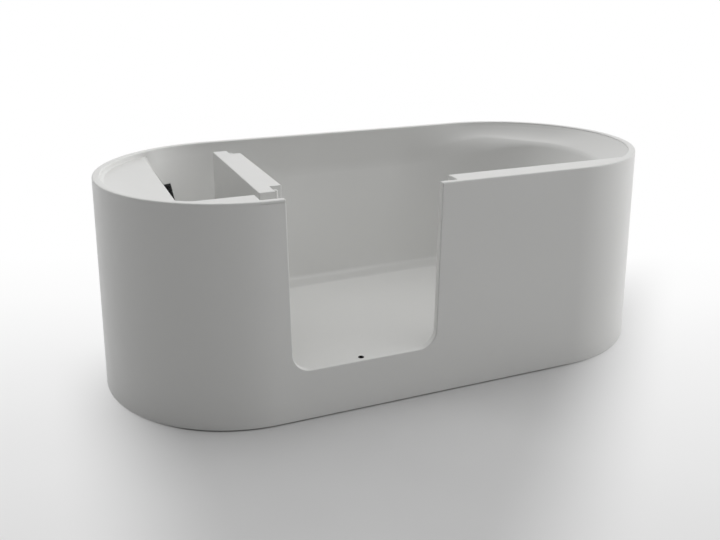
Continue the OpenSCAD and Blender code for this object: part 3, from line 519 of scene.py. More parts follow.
def rim_inner_edge():
    """The rim's inner edge in plan. Beside the deck it leaves the wall's top and follows the tub's end, a
    fillet and the front wall's line."""
    start = TOP[DECK_FIRST]
    a_start = math.degrees(math.atan2(start[1], start[0] + EX)) % 360
    fillet_y = FRONT + RIM_FILLET
    fillet_x = -math.sqrt((RIM_R - RIM_FILLET) ** 2 - fillet_y ** 2)
    a_fillet = math.degrees(math.atan2(fillet_y, fillet_x)) % 360
    path = arc(-EX, 0, RIM_R, a_start, a_fillet, 60)
    path += arc(-EX + fillet_x, fillet_y, RIM_FILLET, a_fillet, 270, 10)[1:]
    path.append(TOP[0])
    run = [0.0]
    for p, q in zip(path, path[1:]):
        run.append(run[-1] + dist(p, q))
    out = TOP[:DECK_FIRST]
    for i in range(DECK_STEPS):
        s = run[-1] * i / DECK_STEPS
        k = max(j for j in range(len(run)) if run[j] <= s + 1e-9)
        out.append(lerp(path[k], path[k + 1], (s - run[k]) / (run[k + 1] - run[k])))
    return out


def rim_outer_edge(q):
    """The place on the tub's outer edge that belongs to a point on the rim's inner edge: the x of its
    circle's centre, and a unit vector from there."""
    if abs(q[0]) <= EX:
        return (q[0], (0.0, math.copysign(1.0, q[1])))
    past = abs(q[0]) - EX
    cx = math.copysign(EX, q[0])
    if on_front(q):
        half_chord = math.sqrt(RIM_R ** 2 - FRONT ** 2)
        a = clamp(past / half_chord) * math.atan2(half_chord, -FRONT)
        return (cx, (math.copysign(math.sin(a), q[0]), -math.cos(a)))
    m = math.hypot(past, q[1])
    return (cx, ((q[0] - cx) / m, q[1] / m))


RIM = rim_inner_edge()
RIM_OUT = [plan_normal(RIM, i) for i in range(NST)]
TOP_OUT = [plan_normal(TOP, i) for i in range(NST)]
RIM_EDGE = [rim_outer_edge(p) for p in RIM]


def outer_ring(r, z):
    """A row on the tub's outside, at radius r."""
    return [(cx + r * ux, r * uy, z) for cx, (ux, uy) in RIM_EDGE]


def moved_ring(plan, out, d, z):
    """A row over an outline that is moved outwards by d."""
    return [(x + nx * d, y + ny * d, z) for (x, y), (nx, ny) in zip(plan, out)]


def rim_rows():
    """From the skirt's seam over the rounded rim to its inner edge."""
    rows = [outer_ring(R, SEAM_Z)]
    for c, s in map(cos_sin, QUARTER):
        rows.append(outer_ring(R - EDGE + EDGE * c, TUB_H - EDGE + EDGE * s))
    outside, inside = outer_ring(R - EDGE, TUB_H), moved_ring(RIM, RIM_OUT, EDGE, TUB_H)
    for u in (0.35, 0.7):
        rows.append([lerp(p, q, u) for p, q in zip(outside, inside)])
    for c, s in map(cos_sin, reversed(QUARTER)):
        rows.append(moved_ring(RIM, RIM_OUT, EDGE * (1 - c), TUB_H - EDGE + EDGE * s))
    return rows


def deck_point(i, kind, v):
    """A point on the way over the deck: down the fillet, along the flat, and over the edge."""
    (qx, qy), (tx, ty) = RIM[i], TOP[i]
    depth = dist(RIM[i], TOP[i])
    ax, ay = ((qx - tx) / depth, (qy - ty) / depth) if depth > 1e-3 else (0, 0)
    fil, rnd = min(DECK_FILLET, depth * DECK_SHARE), min(DECK_ROUND, depth * DECK_SHARE)
    c, s = cos_sin(v)
    if kind == "fillet":
        return (qx - ax * fil * (1 - c), qy - ay * fil * (1 - c), DECK_Z + DECK_FILLET * (1 - s))
    if kind == "flat":
        return (lerp(qx - ax * fil, tx + ax * rnd, v), lerp(qy - ay * fil, ty + ay * rnd, v), DECK_Z)
    return (tx + ax * rnd * (1 - c), ty + ay * rnd * (1 - c), DECK_Z - rnd * (1 - s))


def deck_rows(below):
    """Rows over the deck. At the other stations they only lead from the rim to the row below."""
    way = [("fillet", a) for a in (0, 18, 36, 54, 72, 90)]
    way += [("flat", u) for u in (0.25, 0.5, 0.75)]
    way += [("edge", a) for a in reversed(QUARTER)]
    rows = []
    for k, (kind, v) in enumerate(way):
        share = (k + 1) / (len(way) + 1)
        rows.append([deck_point(i, kind, v) if on_deck(i) else lerp((*RIM[i], TUB_H - EDGE), below[i], share)
                     for i in range(NST)])
    return rows


def hidden_rows(inner):
    """The hidden side, from under the floor up behind the wall and under the rim to the skirt."""
    last, under_z = len(inner) - 1, DECK_Z - SHELL
    rows = []
    for j in range(last, 0, -1):
        tip = math.radians(90 * clamp((j - (last - COVE_N)) / COVE_N))
        away, down = SHELL * math.cos(tip), SHELL * math.sin(tip)
        row = []
        for i, (x, y, z) in enumerate(inner[j]):
            nx, ny = plan_normal(inner[j], i)
            flat_front = on_front(FOOT[i]) and j < last
            # each row stays a little below the next
            row.append((x + nx * away, FRONT - SHELL if flat_front else y + ny * away,
                        min(z - down, under_z - 0.02 * j)))
        rows.append(row)
    rows.append(moved_ring(TOP, TOP_OUT, SHELL, under_z))
    rows.append(moved_ring(RIM, RIM_OUT, SHELL, under_z))
    return rows + [outer_ring(SKIRT_R, under_z), outer_ring(SKIRT_R, SEAM_Z)]


def basin_mesh():
    inner = wall_rows()
    seen = rim_rows() + deck_rows(inner[1]) + inner[1:]
    hidden = hidden_rows(inner)
    points = [p for row in seen + hidden for p in row]
    base = len(seen)
    faces = []

    def strip(a, b):
        for i in range(NST):
            k = (i + 1) % NST
            faces.append((a * NST + i, a * NST + k, b * NST + k, b * NST + i))

    for j in range(base - 1):
        strip(j, j + 1)
    faces.append(tuple((base - 1) * NST + i for i in range(NST)))
    faces.append(tuple(base * NST + i for i in reversed(range(NST))))
    for j in range(len(hidden) - 1):
        strip(base + j, base + j + 1)
    strip(base + len(hidden) - 1, 0)
    return mesh_object("tub_basin", points, faces, "acrylic_white")


# ------------------------ what is cut from the basin


def opening_outline(gap, top):
    """The doorway's outline in x and z, drawn in by gap: its sides lean in towards the sill."""
    r, lean, aside = OPEN_R - gap, math.tan(DRAFT), gap / math.cos(DRAFT)
    corner_z = SILL + gap + r
    turn = math.degrees(DRAFT)
    corner_in = aside + (TUB_H - corner_z) * lean + r / math.cos(DRAFT)
    wider = (top - TUB_H) * lean
    points = [(OPEN[1] - aside + wider, top), (OPEN[0] + aside - wider, top)]
    points += arc(OPEN[0] + corner_in, corner_z, r, 180 + turn, 270, 20)
    return points + arc(OPEN[1] - corner_in, corner_z, r, 270, 360 - turn, 20)


def rounded_box(x0, x1, y0, y1, r, n=5):
    return (arc(x1 - r, y1 - r, r, 0, 90, n) + arc(x0 + r, y1 - r, r, 90, 180, n)
            + arc(x0 + r, y0 + r, r, 180, 270, n) + arc(x1 - r, y0 + r, r, 270, 360, n))


def rounded_square(w, r, n=5):
    return rounded_box(-w / 2, w / 2, -w / 2, w / 2, r, n)


opening_cutter = prism("cut_opening", opening_outline(0, TUB_H + CUT_PAST), -R - CUT_PAST, LIP + 3)
pocket_cutter = prism("cut_pocket", rounded_box(*POCKET, LIP, FRONT + 60, 4), SILL, TUB_H + CUT_PAST, "z")

WASTE = (110 - DECK_X, FLOOR_MID)
WASTE_R, WASTE_SEAT, TUBE_R = 37.0, 3.5, 24.3
waste_z = floor_at(WASTE[0])
waste_cutter = prism("cut_waste", circle(*WASTE, WASTE_R, 64), waste_z - WASTE_SEAT, waste_z + CUT_PAST, "z")
tube_cutter = prism("cut_tube", circle(*WASTE, TUBE_R, 48), waste_z - CUT_PAST, waste_z + CUT_PAST, "z")

# the overflow's place on the wall, and the way it faces: its turn about z, and its lean upwards
OVERFLOW = Vector((-617.3, 281.8, 472.0)) * MM
OVERFLOW_TURN, OVERFLOW_LEAN = -63.2754, 19.5979
COVER_W, RECESS_W, RECESS_DEPTH, BODY_W = 62.0, 63.5, 3.0, 47.0


def overflow_matrix():
    """Its z points out of the wall into the tub, and its y points up the wall."""
    (tc, ts), (lc, ls) = cos_sin(OVERFLOW_TURN), cos_sin(OVERFLOW_LEAN)
    out, up_wall = Vector((tc * lc, ts * lc, ls)), Vector((-tc * ls, -ts * ls, lc))
    axes = Matrix((up_wall.cross(out), up_wall, out)).transposed()
    return Matrix.Translation(OVERFLOW) @ axes.to_4x4()


ON_WALL = overflow_matrix()
recess_cutter = prism("cut_recess", rounded_square(RECESS_W, 3.0), -RECESS_DEPTH, CUT_PAST, "z")
body_cutter = prism("cut_body", rounded_square(BODY_W, 3.0), -CUT_PAST, 10, "z")
for cutter in (recess_cutter, body_cutter):
    placed(cutter, ON_WALL)

# the doorway's edges: how far they are rounded, and the x between which this is done
REBATE_ROUND, REBATE_X = 2.6, (-500, 75)
DOORWAY_ROUND, DOORWAY_X = 3.0, (-450, 20)
LIP_ROUND, LIP_X = 2.6, (-460, 30)


def within(v, limits):
    return limits[0] < v < limits[1]


def rebate_edge(x, y, z):
    """True on the rebate's edges, and on the rim where the doorway cuts it."""
    at_top, on_face = z > TUB_H - 25, y > FRONT - 1
    return within(x, REBATE_X) and y < FRONT + 1 and z > SILL + 8 and (at_top or on_face)


basin = basin_mesh()
cut(basin, opening_cutter, pocket_cutter, waste_cutter, tube_cutter, recess_cutter, body_cutter)
soften(basin, REBATE_ROUND, rebate_edge, 3)
finish_piece(basin, "tub", ["inner_basin"])

# ------------------------ skirt

SKIRT_FOOT, FOOT_ROUND = 3.0, 2.0       # the thin joint at the floor, and the skirt's rounded lower edge
SIDE_STEPS, END_STEPS = 40, 88


def pill(r):
    """The tub's outline in plan, at radius r."""
    out = [(lerp(-EX, EX, i / SIDE_STEPS), -r) for i in range(SIDE_STEPS)]
    out += arc(EX, 0, r, -90, 90, END_STEPS)[:-1]
    out += [(lerp(EX, -EX, i / SIDE_STEPS), r) for i in range(SIDE_STEPS)]
    return out + arc(-EX, 0, r, 90, 270, END_STEPS)[:-1]


def skirt_mesh():
    profile = [(R - FOOT_ROUND + FOOT_ROUND * s, SKIRT_FOOT + FOOT_ROUND - FOOT_ROUND * c)
               for c, s in map(cos_sin, (0, 30, 60, 90))]
    profile += [(R, z) for z in (60, 142, 220, 300, 380, 460, 540, SEAM_Z)]
    profile += [(SKIRT_R, z) for z in (SEAM_Z, 300, SKIRT_FOOT)]
    rows = [[(x, y, z) for x, y in pill(r)] for r, z in profile]
    return mesh_object("outer_shell", *grid(rows), "acrylic_white")


def doorway_edge(x, y, z):
    """True on the doorway's outer edge."""
    return within(x, DOORWAY_X) and y < -R + 0.5 and z > SILL - 12


shell = skirt_mesh()
cut(shell, opening_cutter)
soften(shell, DOORWAY_ROUND, doorway_edge, 4)
finish_piece(shell, "tub", ["outer_skirt"])

# ------------------------ door surround

FRAME_WALL = 12.0
DRAIN_HOLE_R = 6.75
drain_xy = ((OPEN[0] + OPEN[1]) / 2 - 10, LIP + 1)


def surround_mesh():
    plan = rounded_box(POCKET[0] - FRAME_WALL, POCKET[1] + FRAME_WALL, -SKIRT_R, FRONT - SHELL, 1.0, 2)
    rows = [[(x, y, z) for x, y in plan] for z in (SILL - FRAME_WALL, DECK_Z - SHELL)]
    return mesh_object("doorway_frame", *grid(rows, closed_rows=False), "acrylic_white")


def end_cutter():
    """What lies outside the skirt at the frame's left end, where the shell starts to curve."""
    past_y, turn = -R - 30, 20
    plan = [(-560, past_y), (-EX, past_y)] + arc(-EX, 0, SKIRT_R, 270, 270 - turn, 16)
    plan.append((-600, -SKIRT_R * math.cos(math.radians(turn))))
    return prism("cut_end", plan, SILL - CUT_PAST, TUB_H + CUT_PAST, "z")


def lip_edge(x, y, z):
    """True on the inner edge of the doorway's lip."""
    return within(x, LIP_X) and abs(y - LIP) < 0.6 and z > SILL - 2


surround = surround_mesh()
shell_cutter = end_cutter()
drain_cutter = prism("cut_drain", circle(*drain_xy, DRAIN_HOLE_R, 40), SILL - CUT_PAST, SILL + CUT_PAST, "z")
cut(surround, shell_cutter, opening_cutter, pocket_cutter, drain_cutter)
soften(surround, LIP_ROUND, lip_edge, 3)
finish_piece(surround, "tub", ["door_surround"])
discard(opening_cutter, pocket_cutter, waste_cutter, tube_cutter, recess_cutter, body_cutter, shell_cutter,
        drain_cutter)

# ------------------------ door


def to_open(ob):
    """Turns a piece made in the closed door's place to where the open door stands."""
    axis = Vector((PIN[0] * MM, PIN[1] * MM, 0))
    quarter = Matrix.Rotation(math.pi / 2, 4, "Z")
    return placed(ob, Matrix.Translation(axis) @ quarter @ Matrix.Translation(-axis))


def rounded_poly(corners):
    """A polygon in x, z whose right-angled corners are (x, z, radius)."""
    out = []
    for i, (x, z, r) in enumerate(corners):
        a = toward((x, z), corners[i - 1][:2], r)
        b = toward((x, z), corners[(i + 1) % len(corners)][:2], r)
        # the arc between the two tangent points turns round the corner's square
        cx, cz = a[0] + b[0] - x, a[1] + b[1] - z
        a0 = math.atan2(a[1] - cz, a[0] - cx)
        a1 = math.atan2(b[1] - cz, b[0] - cx)
        a1 -= 2 * math.pi * round((a1 - a0) / (2 * math.pi))
        steps = max(8, int(r / 3))
        for j in range(steps + 1):
            t = lerp(a0, a1, j / steps)
            out.append((cx + r * math.cos(t), cz + r * math.sin(t)))
    return out


def inset(poly, d):
    """The outline drawn in by d."""
    out = []
    n = len(poly)
    for i in range(n):
        p, c, q = poly[i - 1], poly[i], poly[(i + 1) % n]
        e0, e1 = (c[0] - p[0], c[1] - p[1]), (q[0] - c[0], q[1] - c[1])
        m0, m1 = math.hypot(*e0) or 1, math.hypot(*e1) or 1
        n0, n1 = (-e0[1] / m0, e0[0] / m0), (-e1[1] / m1, e1[0] / m1)
        bx, by = n0[0] + n1[0], n0[1] + n1[1]
        m = bx * bx + by * by
        k = 2 * d / m if m > 1e-6 else 0
        out.append((c[0] + bx * k, c[1] + by * k))
    return out


def plate(name, poly, y0, y1, r0, r1, slot=None, n=4):
    """A plate over a counterclockwise outline, with its front (y0) and back (y1) edges rounded."""
    rows = []
    for i in range(n + 1):
        c, s = cos_sin(90 * i / n)
        rows.append([(x, y0 + r0 * (1 - c), z) for x, z in inset(poly, r0 * (1 - s))])
    for i in range(n, -1, -1):
        c, s = cos_sin(90 * i / n)
        rows.append([(x, y1 - r1 * (1 - c), z) for x, z in inset(poly, r1 * (1 - s))])
    return mesh_object(name, *grid(rows, closed_rows=False), slot)


LEAF_FOOT_R, LEAF_TOP_R = (12, 62), 2.5         # the inner panel's corners
plug_poly = opening_outline(GAP, TUB_H)
leaf_poly = rounded_poly([(LEAF[0], LEAF_Z, LEAF_FOOT_R[0]), (LEAF[1], LEAF_Z, LEAF_FOOT_R[1]),
                          (LEAF[1], TUB_H, LEAF_TOP_R), (LEAF[0], TUB_H, LEAF_TOP_R)])

plug = plate("door_outer", plug_poly, -R, PLUG_Y1, 3.0, 0.0, "acrylic_white")
finish_piece(to_open(plug), "door", ["door_outer_panel"])
leaf = plate("door_inner", leaf_poly, PLUG_Y1, DOOR_IN, 0.0, 3.0, "acrylic_white")
finish_piece(to_open(leaf), "door", ["door_inner_panel"])

# ------------------------ seals

SEAL_W, SEAL_STOP = 14, 0.3     # a side seal's width, and how far it stops short of the lip
SEAL_BASE, SEAL_WEB = 3, (2.2, 4.2)


def bulb_profile():
    """A side seal's section in x, y: a base on the door, two webs, and a rounded bulb towards the lip."""
    y0, y1, r = LIP + SEAL_STOP, PLUG_Y1, SEAL_W * 0.5
    web_in, web_up = SEAL_WEB
    half = (y1 - y0) * 0.45
    left = [(0, y1), (0, y1 - SEAL_BASE), (web_in, y1 - web_up)]
    bulb = [(r + r * c, y0 + half + half * s) for c, s in (cos_sin(200 + 140 * i / 16) for i in range(17))]
    return left + bulb + [(SEAL_W - x, y) for x, y in reversed(left)]


def side_seal(name, x):
    """A seal up the door's side, from its lower corner, with slightly narrower ends."""
    z0, z1 = LEAF_Z + LEAF_FOOT_R[1], TUB_H - 3
    mid = SEAL_W / 2
    rows = []
    for z, s in ((z0, 0.86), (z0 + 1, 0.97), (z0 + 2.2, 1.0), (z1 - 2.2, 1.0), (z1 - 1, 0.97), (z1, 0.86)):
        rows.append([(x + mid + (px - mid) * s, lerp(PLUG_Y1, py, s), z) for px, py in bulb_profile()])
    return to_open(mesh_object(name, *grid(rows, closed_rows=False), "seal_white"))


finish_piece(side_seal("seal_hinge_side", LEAF[0] + 18), "door", ["door_side_seals"])
finish_piece(side_seal("seal_free_side", LEAF[1] - 32), "door")

# ------------------------ overflow cover

SLOT_PITCH, SLOT_W, SLOT_END = 10, 5.0, 8


def overflow_cover():
    z0, z1 = -1.5, 2.5
    poly = rounded_square(COVER_W, 4, 6)
    rows = []
    for d, z in ((0.0, z0), (0.0, z1 - 1.6), (0.25, z1 - 0.8), (0.8, z1 - 0.25), (1.6, z1)):
        rows.append([(x, y, z) for x, y in inset(poly, d)])
    ob = mesh_object("overflow_grille", *grid(rows, closed_rows=False), "black_plastic")
    reach = COVER_W / 2 - SLOT_END
    for k in range(-2, 3):
        y = k * SLOT_PITCH
        plan = rounded_box(-reach, reach, y - SLOT_W / 2, y + SLOT_W / 2, 2.4)
        slot = prism("cut_slot", plan, -12, 12, "z")
        cut(ob, slot)
        discard(slot)
    return finish_piece(placed(ob, ON_WALL), "tub", ["overflow_cover"])


overflow_cover()

# ------------------------ hinges and screws


def turned(name, profile, n, at, slot=None, axis="z"):
    """A solid of revolution. The profile is a closed loop of (radius, height)."""
    rows = []
    for i in range(n):
        a = 2 * math.pi * i / n
        rows.append([(r * math.cos(a), r * math.sin(a), z) for r, z in profile])
    ob = mesh_object(name, *grid(rows), slot)
    turn = Matrix.Rotation(-math.pi / 2, 4, "X") if axis == "y" else Matrix()
    return placed(ob, Matrix.Translation(Vector(at) * MM) @ turn)


def merged(name, slot, parts):
    bm = bmesh.new()
    for o in parts:
        bm.from_mesh(o.data)
    me = bpy.data.meshes.new(name)
    bm.to_mesh(me)
    bm.free()
    ob = bpy.data.objects.new(name, me)
    scene.collection.objects.link(ob)
    me.materials.append(MATS[slot])
    discard(*parts)
    return ob


# two hinges, each of two leaves and three knuckles in turn. Ways along a leaf are measured from the axis.
HINGE_Z, HINGE_H, LEAF_T = (200.0, 490.0), 70.0, 3.0
LEAF_NEAR, LEAF_FAR = 7.5, 52.0
KNUCKLE_GAP, KNUCKLE_R, PIN_R = 1.0, 6.5, 3.5
KNUCKLE = (HINGE_H - 2 * KNUCKLE_GAP) / 3
HOLES = [(u, v) for u in (21.84, 41.6) for v in (11.2, 58.8)]


def knuckle(z0):
    """A hinge's knuckle, with small chamfers inside and outside."""
    z1 = z0 + KNUCKLE
    bore, bore_end, rim = PIN_R + 0.1, PIN_R + 0.4, KNUCKLE_R - 0.6
    profile = [(bore, z0 + 0.3), (bore_end, z0), (rim, z0), (KNUCKLE_R, z0 + 0.6), (KNUCKLE_R, z1 - 0.6),
               (rim, z1), (bore_end, z1), (bore, z1 - 0.3)]
    return turned("knuckle", profile, 40, (*PIN, 0))


def hinge_leaf(name, z, side, face, knuckles):
    """One leaf: a plate with countersunk holes on the given side of the axis, and the knuckles it carries."""
    x0, x1 = sorted(PIN[0] + side * u for u in (LEAF_NEAR, LEAF_FAR))
    flat = plate("leaf", rounded_box(x0, x1, z, z + HINGE_H, 3.0), face, face + LEAF_T, 0.3, 0.7, n=3)
    profile = [(0, -2), (2.1, -2), (2.1, 1.0), (4.15, 3.02), (4.15, 5), (0, 5)]
    holes = [turned("hole", profile, 32, (PIN[0] + side * u, face, z + v), axis="y") for u, v in HOLES]
    cut(flat, *holes)
    discard(*holes)
    parts = [flat]
    web_x = sorted(PIN[0] + side * u for u in (-0.5, 9.0))
    for k in knuckles:
        z0 = z + k * (KNUCKLE + KNUCKLE_GAP)
        web = rounded_box(*web_x, z0 + 0.3, z0 + KNUCKLE - 0.3, 0.4)
        parts.append(knuckle(z0))
        parts.append(plate("web", web, face + 0.02, face + LEAF_T - 0.02, 0.3, 0.3, n=2))
    return merged(name, "stainless", parts)


def hinge_pin(name, z):
    """The pin with its rounded head."""
    top = z + HINGE_H
    profile = [(0, z), (2.9, z), (PIN_R, z + 0.6), (PIN_R, top - 0.1), (5.1, top), (5.5, top + 0.4),
               (5.1, top + 1.2), (3.6, top + 1.8), (1.6, top + 2.0), (0, top + 2.0)]
    return turned(name, profile, 40, (*PIN, 0), "stainless")


def screws(name, side, face, length):
    """Countersunk screws with a cross recess, in all holes of one side's leaves."""
    profile = [(0, 0), (3.5, 0), (3.95, -0.15), (3.95, -0.3), (2.0, -2.0), (2.0, 2.0 - length),
               (0.6, -length), (0, -length)]
    parts = []
    for z in HINGE_Z:
        for u, v in HOLES:
            x, y, h = PIN[0] + side * u, face + LEAF_T - 0.05, z + v
            one = turned("screw", profile, 32, (x, y, h), axis="y")
            bars = [prism("bar", rounded_box(x - a, x + a, h - b, h + b, 0.35, 3), y - 1.1, y + 1.0)
                    for a, b in ((2.3, 0.45), (0.45, 2.3))]
            cut(one, *bars)
            discard(*bars)
            parts.append(one)
    return merged(name, "stainless", parts)


for which, z in zip(("lower", "upper"), HINGE_Z):
    fixed = hinge_leaf("hinge_%s_fixed" % which, z, -1, FRONT, (0, 2))
    finish_piece(fixed, "tub", [which + "_hinge_frame_leaf"])
    moving = hinge_leaf("hinge_%s_moving" % which, z, 1, DOOR_IN, (1,))
    finish_piece(to_open(moving), "door", [which + "_hinge_door_leaf"])
    finish_piece(hinge_pin("hinge_%s_axle" % which, z), "tub", [which + "_hinge_pin"])
finish_piece(screws("screws_fixed_side", -1, FRONT, 11.0), "tub", ["frame_hinge_screws"])
finish_piece(to_open(screws("screws_door_side", 1, DOOR_IN, 17.0)), "door", ["door_hinge_screws"])

# ------------------------ bottom seal, waste and threshold drain


def bottom_seal():
    """A wiper along the door's foot: a base that is bonded to the panel, and two lips."""
    y0, y1, z0, z1 = DOOR_IN - 22, DOOR_IN - 8, SILL + 0.6, LEAF_Z
    first_lip = [(y0 + 1.4, z1 - 2.8), (y0 + 0.2, z0 + 1.2), (y0 + 0.6, z0), (y0 + 1.9, z0 + 0.2),
                 (y0 + 4.0, z1 - 3.0)]
    second_lip = [(y0 + 8.6, z1 - 3.0), (y0 + 7.6, z0 + 1.0), (y0 + 8.2, z0 + 0.1), (y0 + 9.4, z0 + 0.4),
                  (y1 - 1.6, z1 - 2.8)]
    profile = [(y0, z1), (y0, z1 - 2.2), *first_lip, *second_lip, (y1, z1 - 2.2), (y1, z1)]
    x0, x1 = LEAF[0] + LEAF_FOOT_R[0], LEAF[1] - LEAF_FOOT_R[1]
    rows = []
    for x, k in ((x0, 0.9), (x0 + 0.6, 1.0), (x1 - 0.6, 1.0), (x1, 0.9)):
        rows.append([(x, lerp((y0 + y1) / 2, y, k), lerp(z1, z, k)) for y, z in profile])
    return mesh_object("seal_door_foot", *grid(rows, closed_rows=False), "seal_white")


def box_mm(node):
    """A solid's lowest and highest corner."""
    return [v * 1000 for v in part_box(node)]


def waste_dish():
    """The waste's flange, dished to take the plug."""
    lo, hi = box_mm("waste_flange")
    z = hi.z
    profile = [(20, lo.z), (24, lo.z), (24, z - 5.4), (35, z - 1.5), (35, z - 1.1), (34.4, z - 0.4),
               (33.4, z), (32.6, z), (32.0, z - 0.3), (31.5, z - 1.0), (31.5, z - 2.0), (29.0, z - 2.4),
               (22.0, z - 4.0), (20.5, z - 5.2), (20, z - 7)]
    return turned("waste_dish", profile, 72, (*WASTE, 0), "polished_steel")


def waste_lid():
    """The waste's plug: a stem, and a lid with a shallow recess."""
    lo, hi = box_mm("waste_plug")
    foot, z = lo.z, hi.z - 3.5
    profile = [(0, foot), (4.4, foot), (5.0, foot + 0.6), (5.0, z - 2.0), (7.0, z), (29.6, z),
               (30.6, z + 0.4), (31.0, z + 1.2), (31.0, z + 2.2), (30.5, z + 2.9), (29.2, z + 3.3),
               (27.0, z + 3.42), (16.0, z + 3.5), (8.0, z + 3.5), (7.0, z + 3.2), (0, z + 3.0)]
    return turned("waste_lid", profile, 72, (*WASTE, 0), "polished_steel")


def drain_cup():
    """The bush in the threshold's drain hole, with a thin collar."""
    lo, hi = box_mm("threshold_drain_bush")
    mid, z = (lo + hi) / 2, hi.z
    profile = [(5.5, lo.z), (6.7, lo.z), (6.7, z - 0.75), (8.0, z - 0.75), (8.0, z - 0.35), (7.5, z),
               (6.4, z), (5.5, z - 0.6)]
    return turned("threshold_drain_cup", profile, 40, (mid.x, mid.y, 0), "black_plastic")


finish_piece(to_open(bottom_seal()), "door", ["door_bottom_seal"])
finish_piece(waste_dish(), "tub", ["waste_flange"])
finish_piece(waste_lid(), "waste_stopper", ["waste_plug"])
finish_piece(drain_cup(), "tub", ["threshold_drain_bush"])

# ------------------------ camera, floor and light, in m

# the camera, solved from the photograph. In pixels: the frame's width, the focal length, and how far above
# the frame's middle its axis falls.
CAM = Vector((-1.0075, -2.2735, 1.1548))
YAW, PITCH, ROLL = math.radians(22.39), math.radians(-13.50), math.radians(-0.01)
FRAME_PX, FOCAL_PX, AXIS_UP_PX = 720.0, 829.7, 100.0
SENSOR = 36.0
AWAY = (math.sin(YAW), math.cos(YAW), 0)        # the way the camera looks, in plan


def add_camera():
    look = Vector((math.sin(YAW) * math.cos(PITCH), math.cos(YAW) * math.cos(PITCH), math.sin(PITCH)))
    level = Vector((math.cos(YAW), -math.sin(YAW), 0))
    upright = level.cross(look)
    right = level * math.cos(ROLL) + upright * math.sin(ROLL)
    up = -level * math.sin(ROLL) + upright * math.cos(ROLL)
    data = bpy.data.cameras.new("camera")
    data.sensor_fit = "HORIZONTAL"
    data.sensor_width = SENSOR
    data.lens = FOCAL_PX * SENSOR / FRAME_PX
    data.shift_y = -AXIS_UP_PX / FRAME_PX
    data.clip_end = 100
    cam = bpy.data.objects.new("camera", data)
    scene.collection.objects.link(cam)
    m = Matrix((right, up, -look)).transposed().to_4x4()
    m.translation = CAM
    cam.matrix_world = m
    scene.camera = cam


def maths(t, kind, a, b):
    """One operation on two sockets or numbers."""
    n = node_of(t, "ShaderNodeMath", operation=kind)
    for k, v in enumerate((a, b)):
        if isinstance(v, (int, float)):
            n.inputs[k].default_value = v
        else:
            t.links.new(v, n.inputs[k])
    return n.outputs[0]


def along(t, source, way):
    """How far a place lies along a direction."""
    dot = node_of(t, "ShaderNodeVectorMath", operation="DOT_PRODUCT")
    dot.inputs[1].default_value = way
    t.links.new(source, dot.inputs[0])
    return dot.outputs["Value"]


def fade(t, source, start, end):
    """0 at the start, 1 at the end, and smooth between."""
    mr = node_of(t, "ShaderNodeMapRange", interpolation_type="SMOOTHSTEP")
    mr.inputs["From Min"].default_value = start
    mr.inputs["From Max"].default_value = end
    t.links.new(source, mr.inputs["Value"])
    return mr.outputs["Result"]


def backdrop_rays(t):
    """Two sockets: 1 for rays that show the backdrop straight or through glass, and 1 for glossy rays."""
    lp = node_of(t, "ShaderNodeLightPath")
    seen = maths(t, "MAXIMUM", lp.outputs["Is Camera Ray"], lp.outputs["Is Transmission Ray"])
    return seen, lp.outputs["Is Glossy Ray"]


def mix_shaders(t, share, a, b, out):
    mix = node_of(t, "ShaderNodeMixShader")
    t.links.new(share, mix.inputs[0])
    t.links.new(a.outputs[0], mix.inputs[1])
    t.links.new(b.outputs[0], mix.inputs[2])
    t.links.new(mix.outputs[0], out.inputs["Surface"])


FLOOR_TONES = (0.61, 0.61, 0.61), (0.63, 0.63, 0.63)
FLOOR_HALF = 9.0
# how white the floor shows, by the way from under the tub's middle along the camera's look: less white
# towards the camera, a painted falloff of light that darkens the near floor
WHITE_AND_PAINTED_FALLOFF = [(-1.2, 0.40), (-0.75, 0.60), (-0.4, 0.73), (0.0, 0.84), (0.35, 0.94), (0.8, 1.0)]
# painted shadow: the floor's white is held back, so that its real shading and the tub's shadow show, where
# these three fades, each along a direction in plan, are all 1
PAINTED_SHADOW = [((1, 0, 0), -1.02, -0.65), ((1, -1, 0), 1.25, 0.75), ((0, 1, 0), 0.35, -0.2)]
FAR_WHITE = (1.5, 2.6)          # how far from the tub's middle the floor turns all white


# painted falloff of light: the share of white, and so the floor's brightness, drops towards the camera
def white_and_painted_falloff(t, place):
    first, last = WHITE_AND_PAINTED_FALLOFF[0][0], WHITE_AND_PAINTED_FALLOFF[-1][0]
    way = node_of(t, "ShaderNodeMapRange")
    way.inputs["From Min"].default_value = first
    way.inputs["From Max"].default_value = last
    t.links.new(along(t, place, AWAY), way.inputs["Value"])
    ramp = node_of(t, "ShaderNodeValToRGB")
    stops = ramp.color_ramp.elements
    for _ in WHITE_AND_PAINTED_FALLOFF[2:]:
        stops.new(0.5)
    for stop, (v, tone) in zip(stops, WHITE_AND_PAINTED_FALLOFF):
        stop.position, stop.color = (v - first) / (last - first), (tone, tone, tone, 1)
    t.links.new(way.outputs["Result"], ramp.inputs["Fac"])
    return ramp.outputs["Color"]


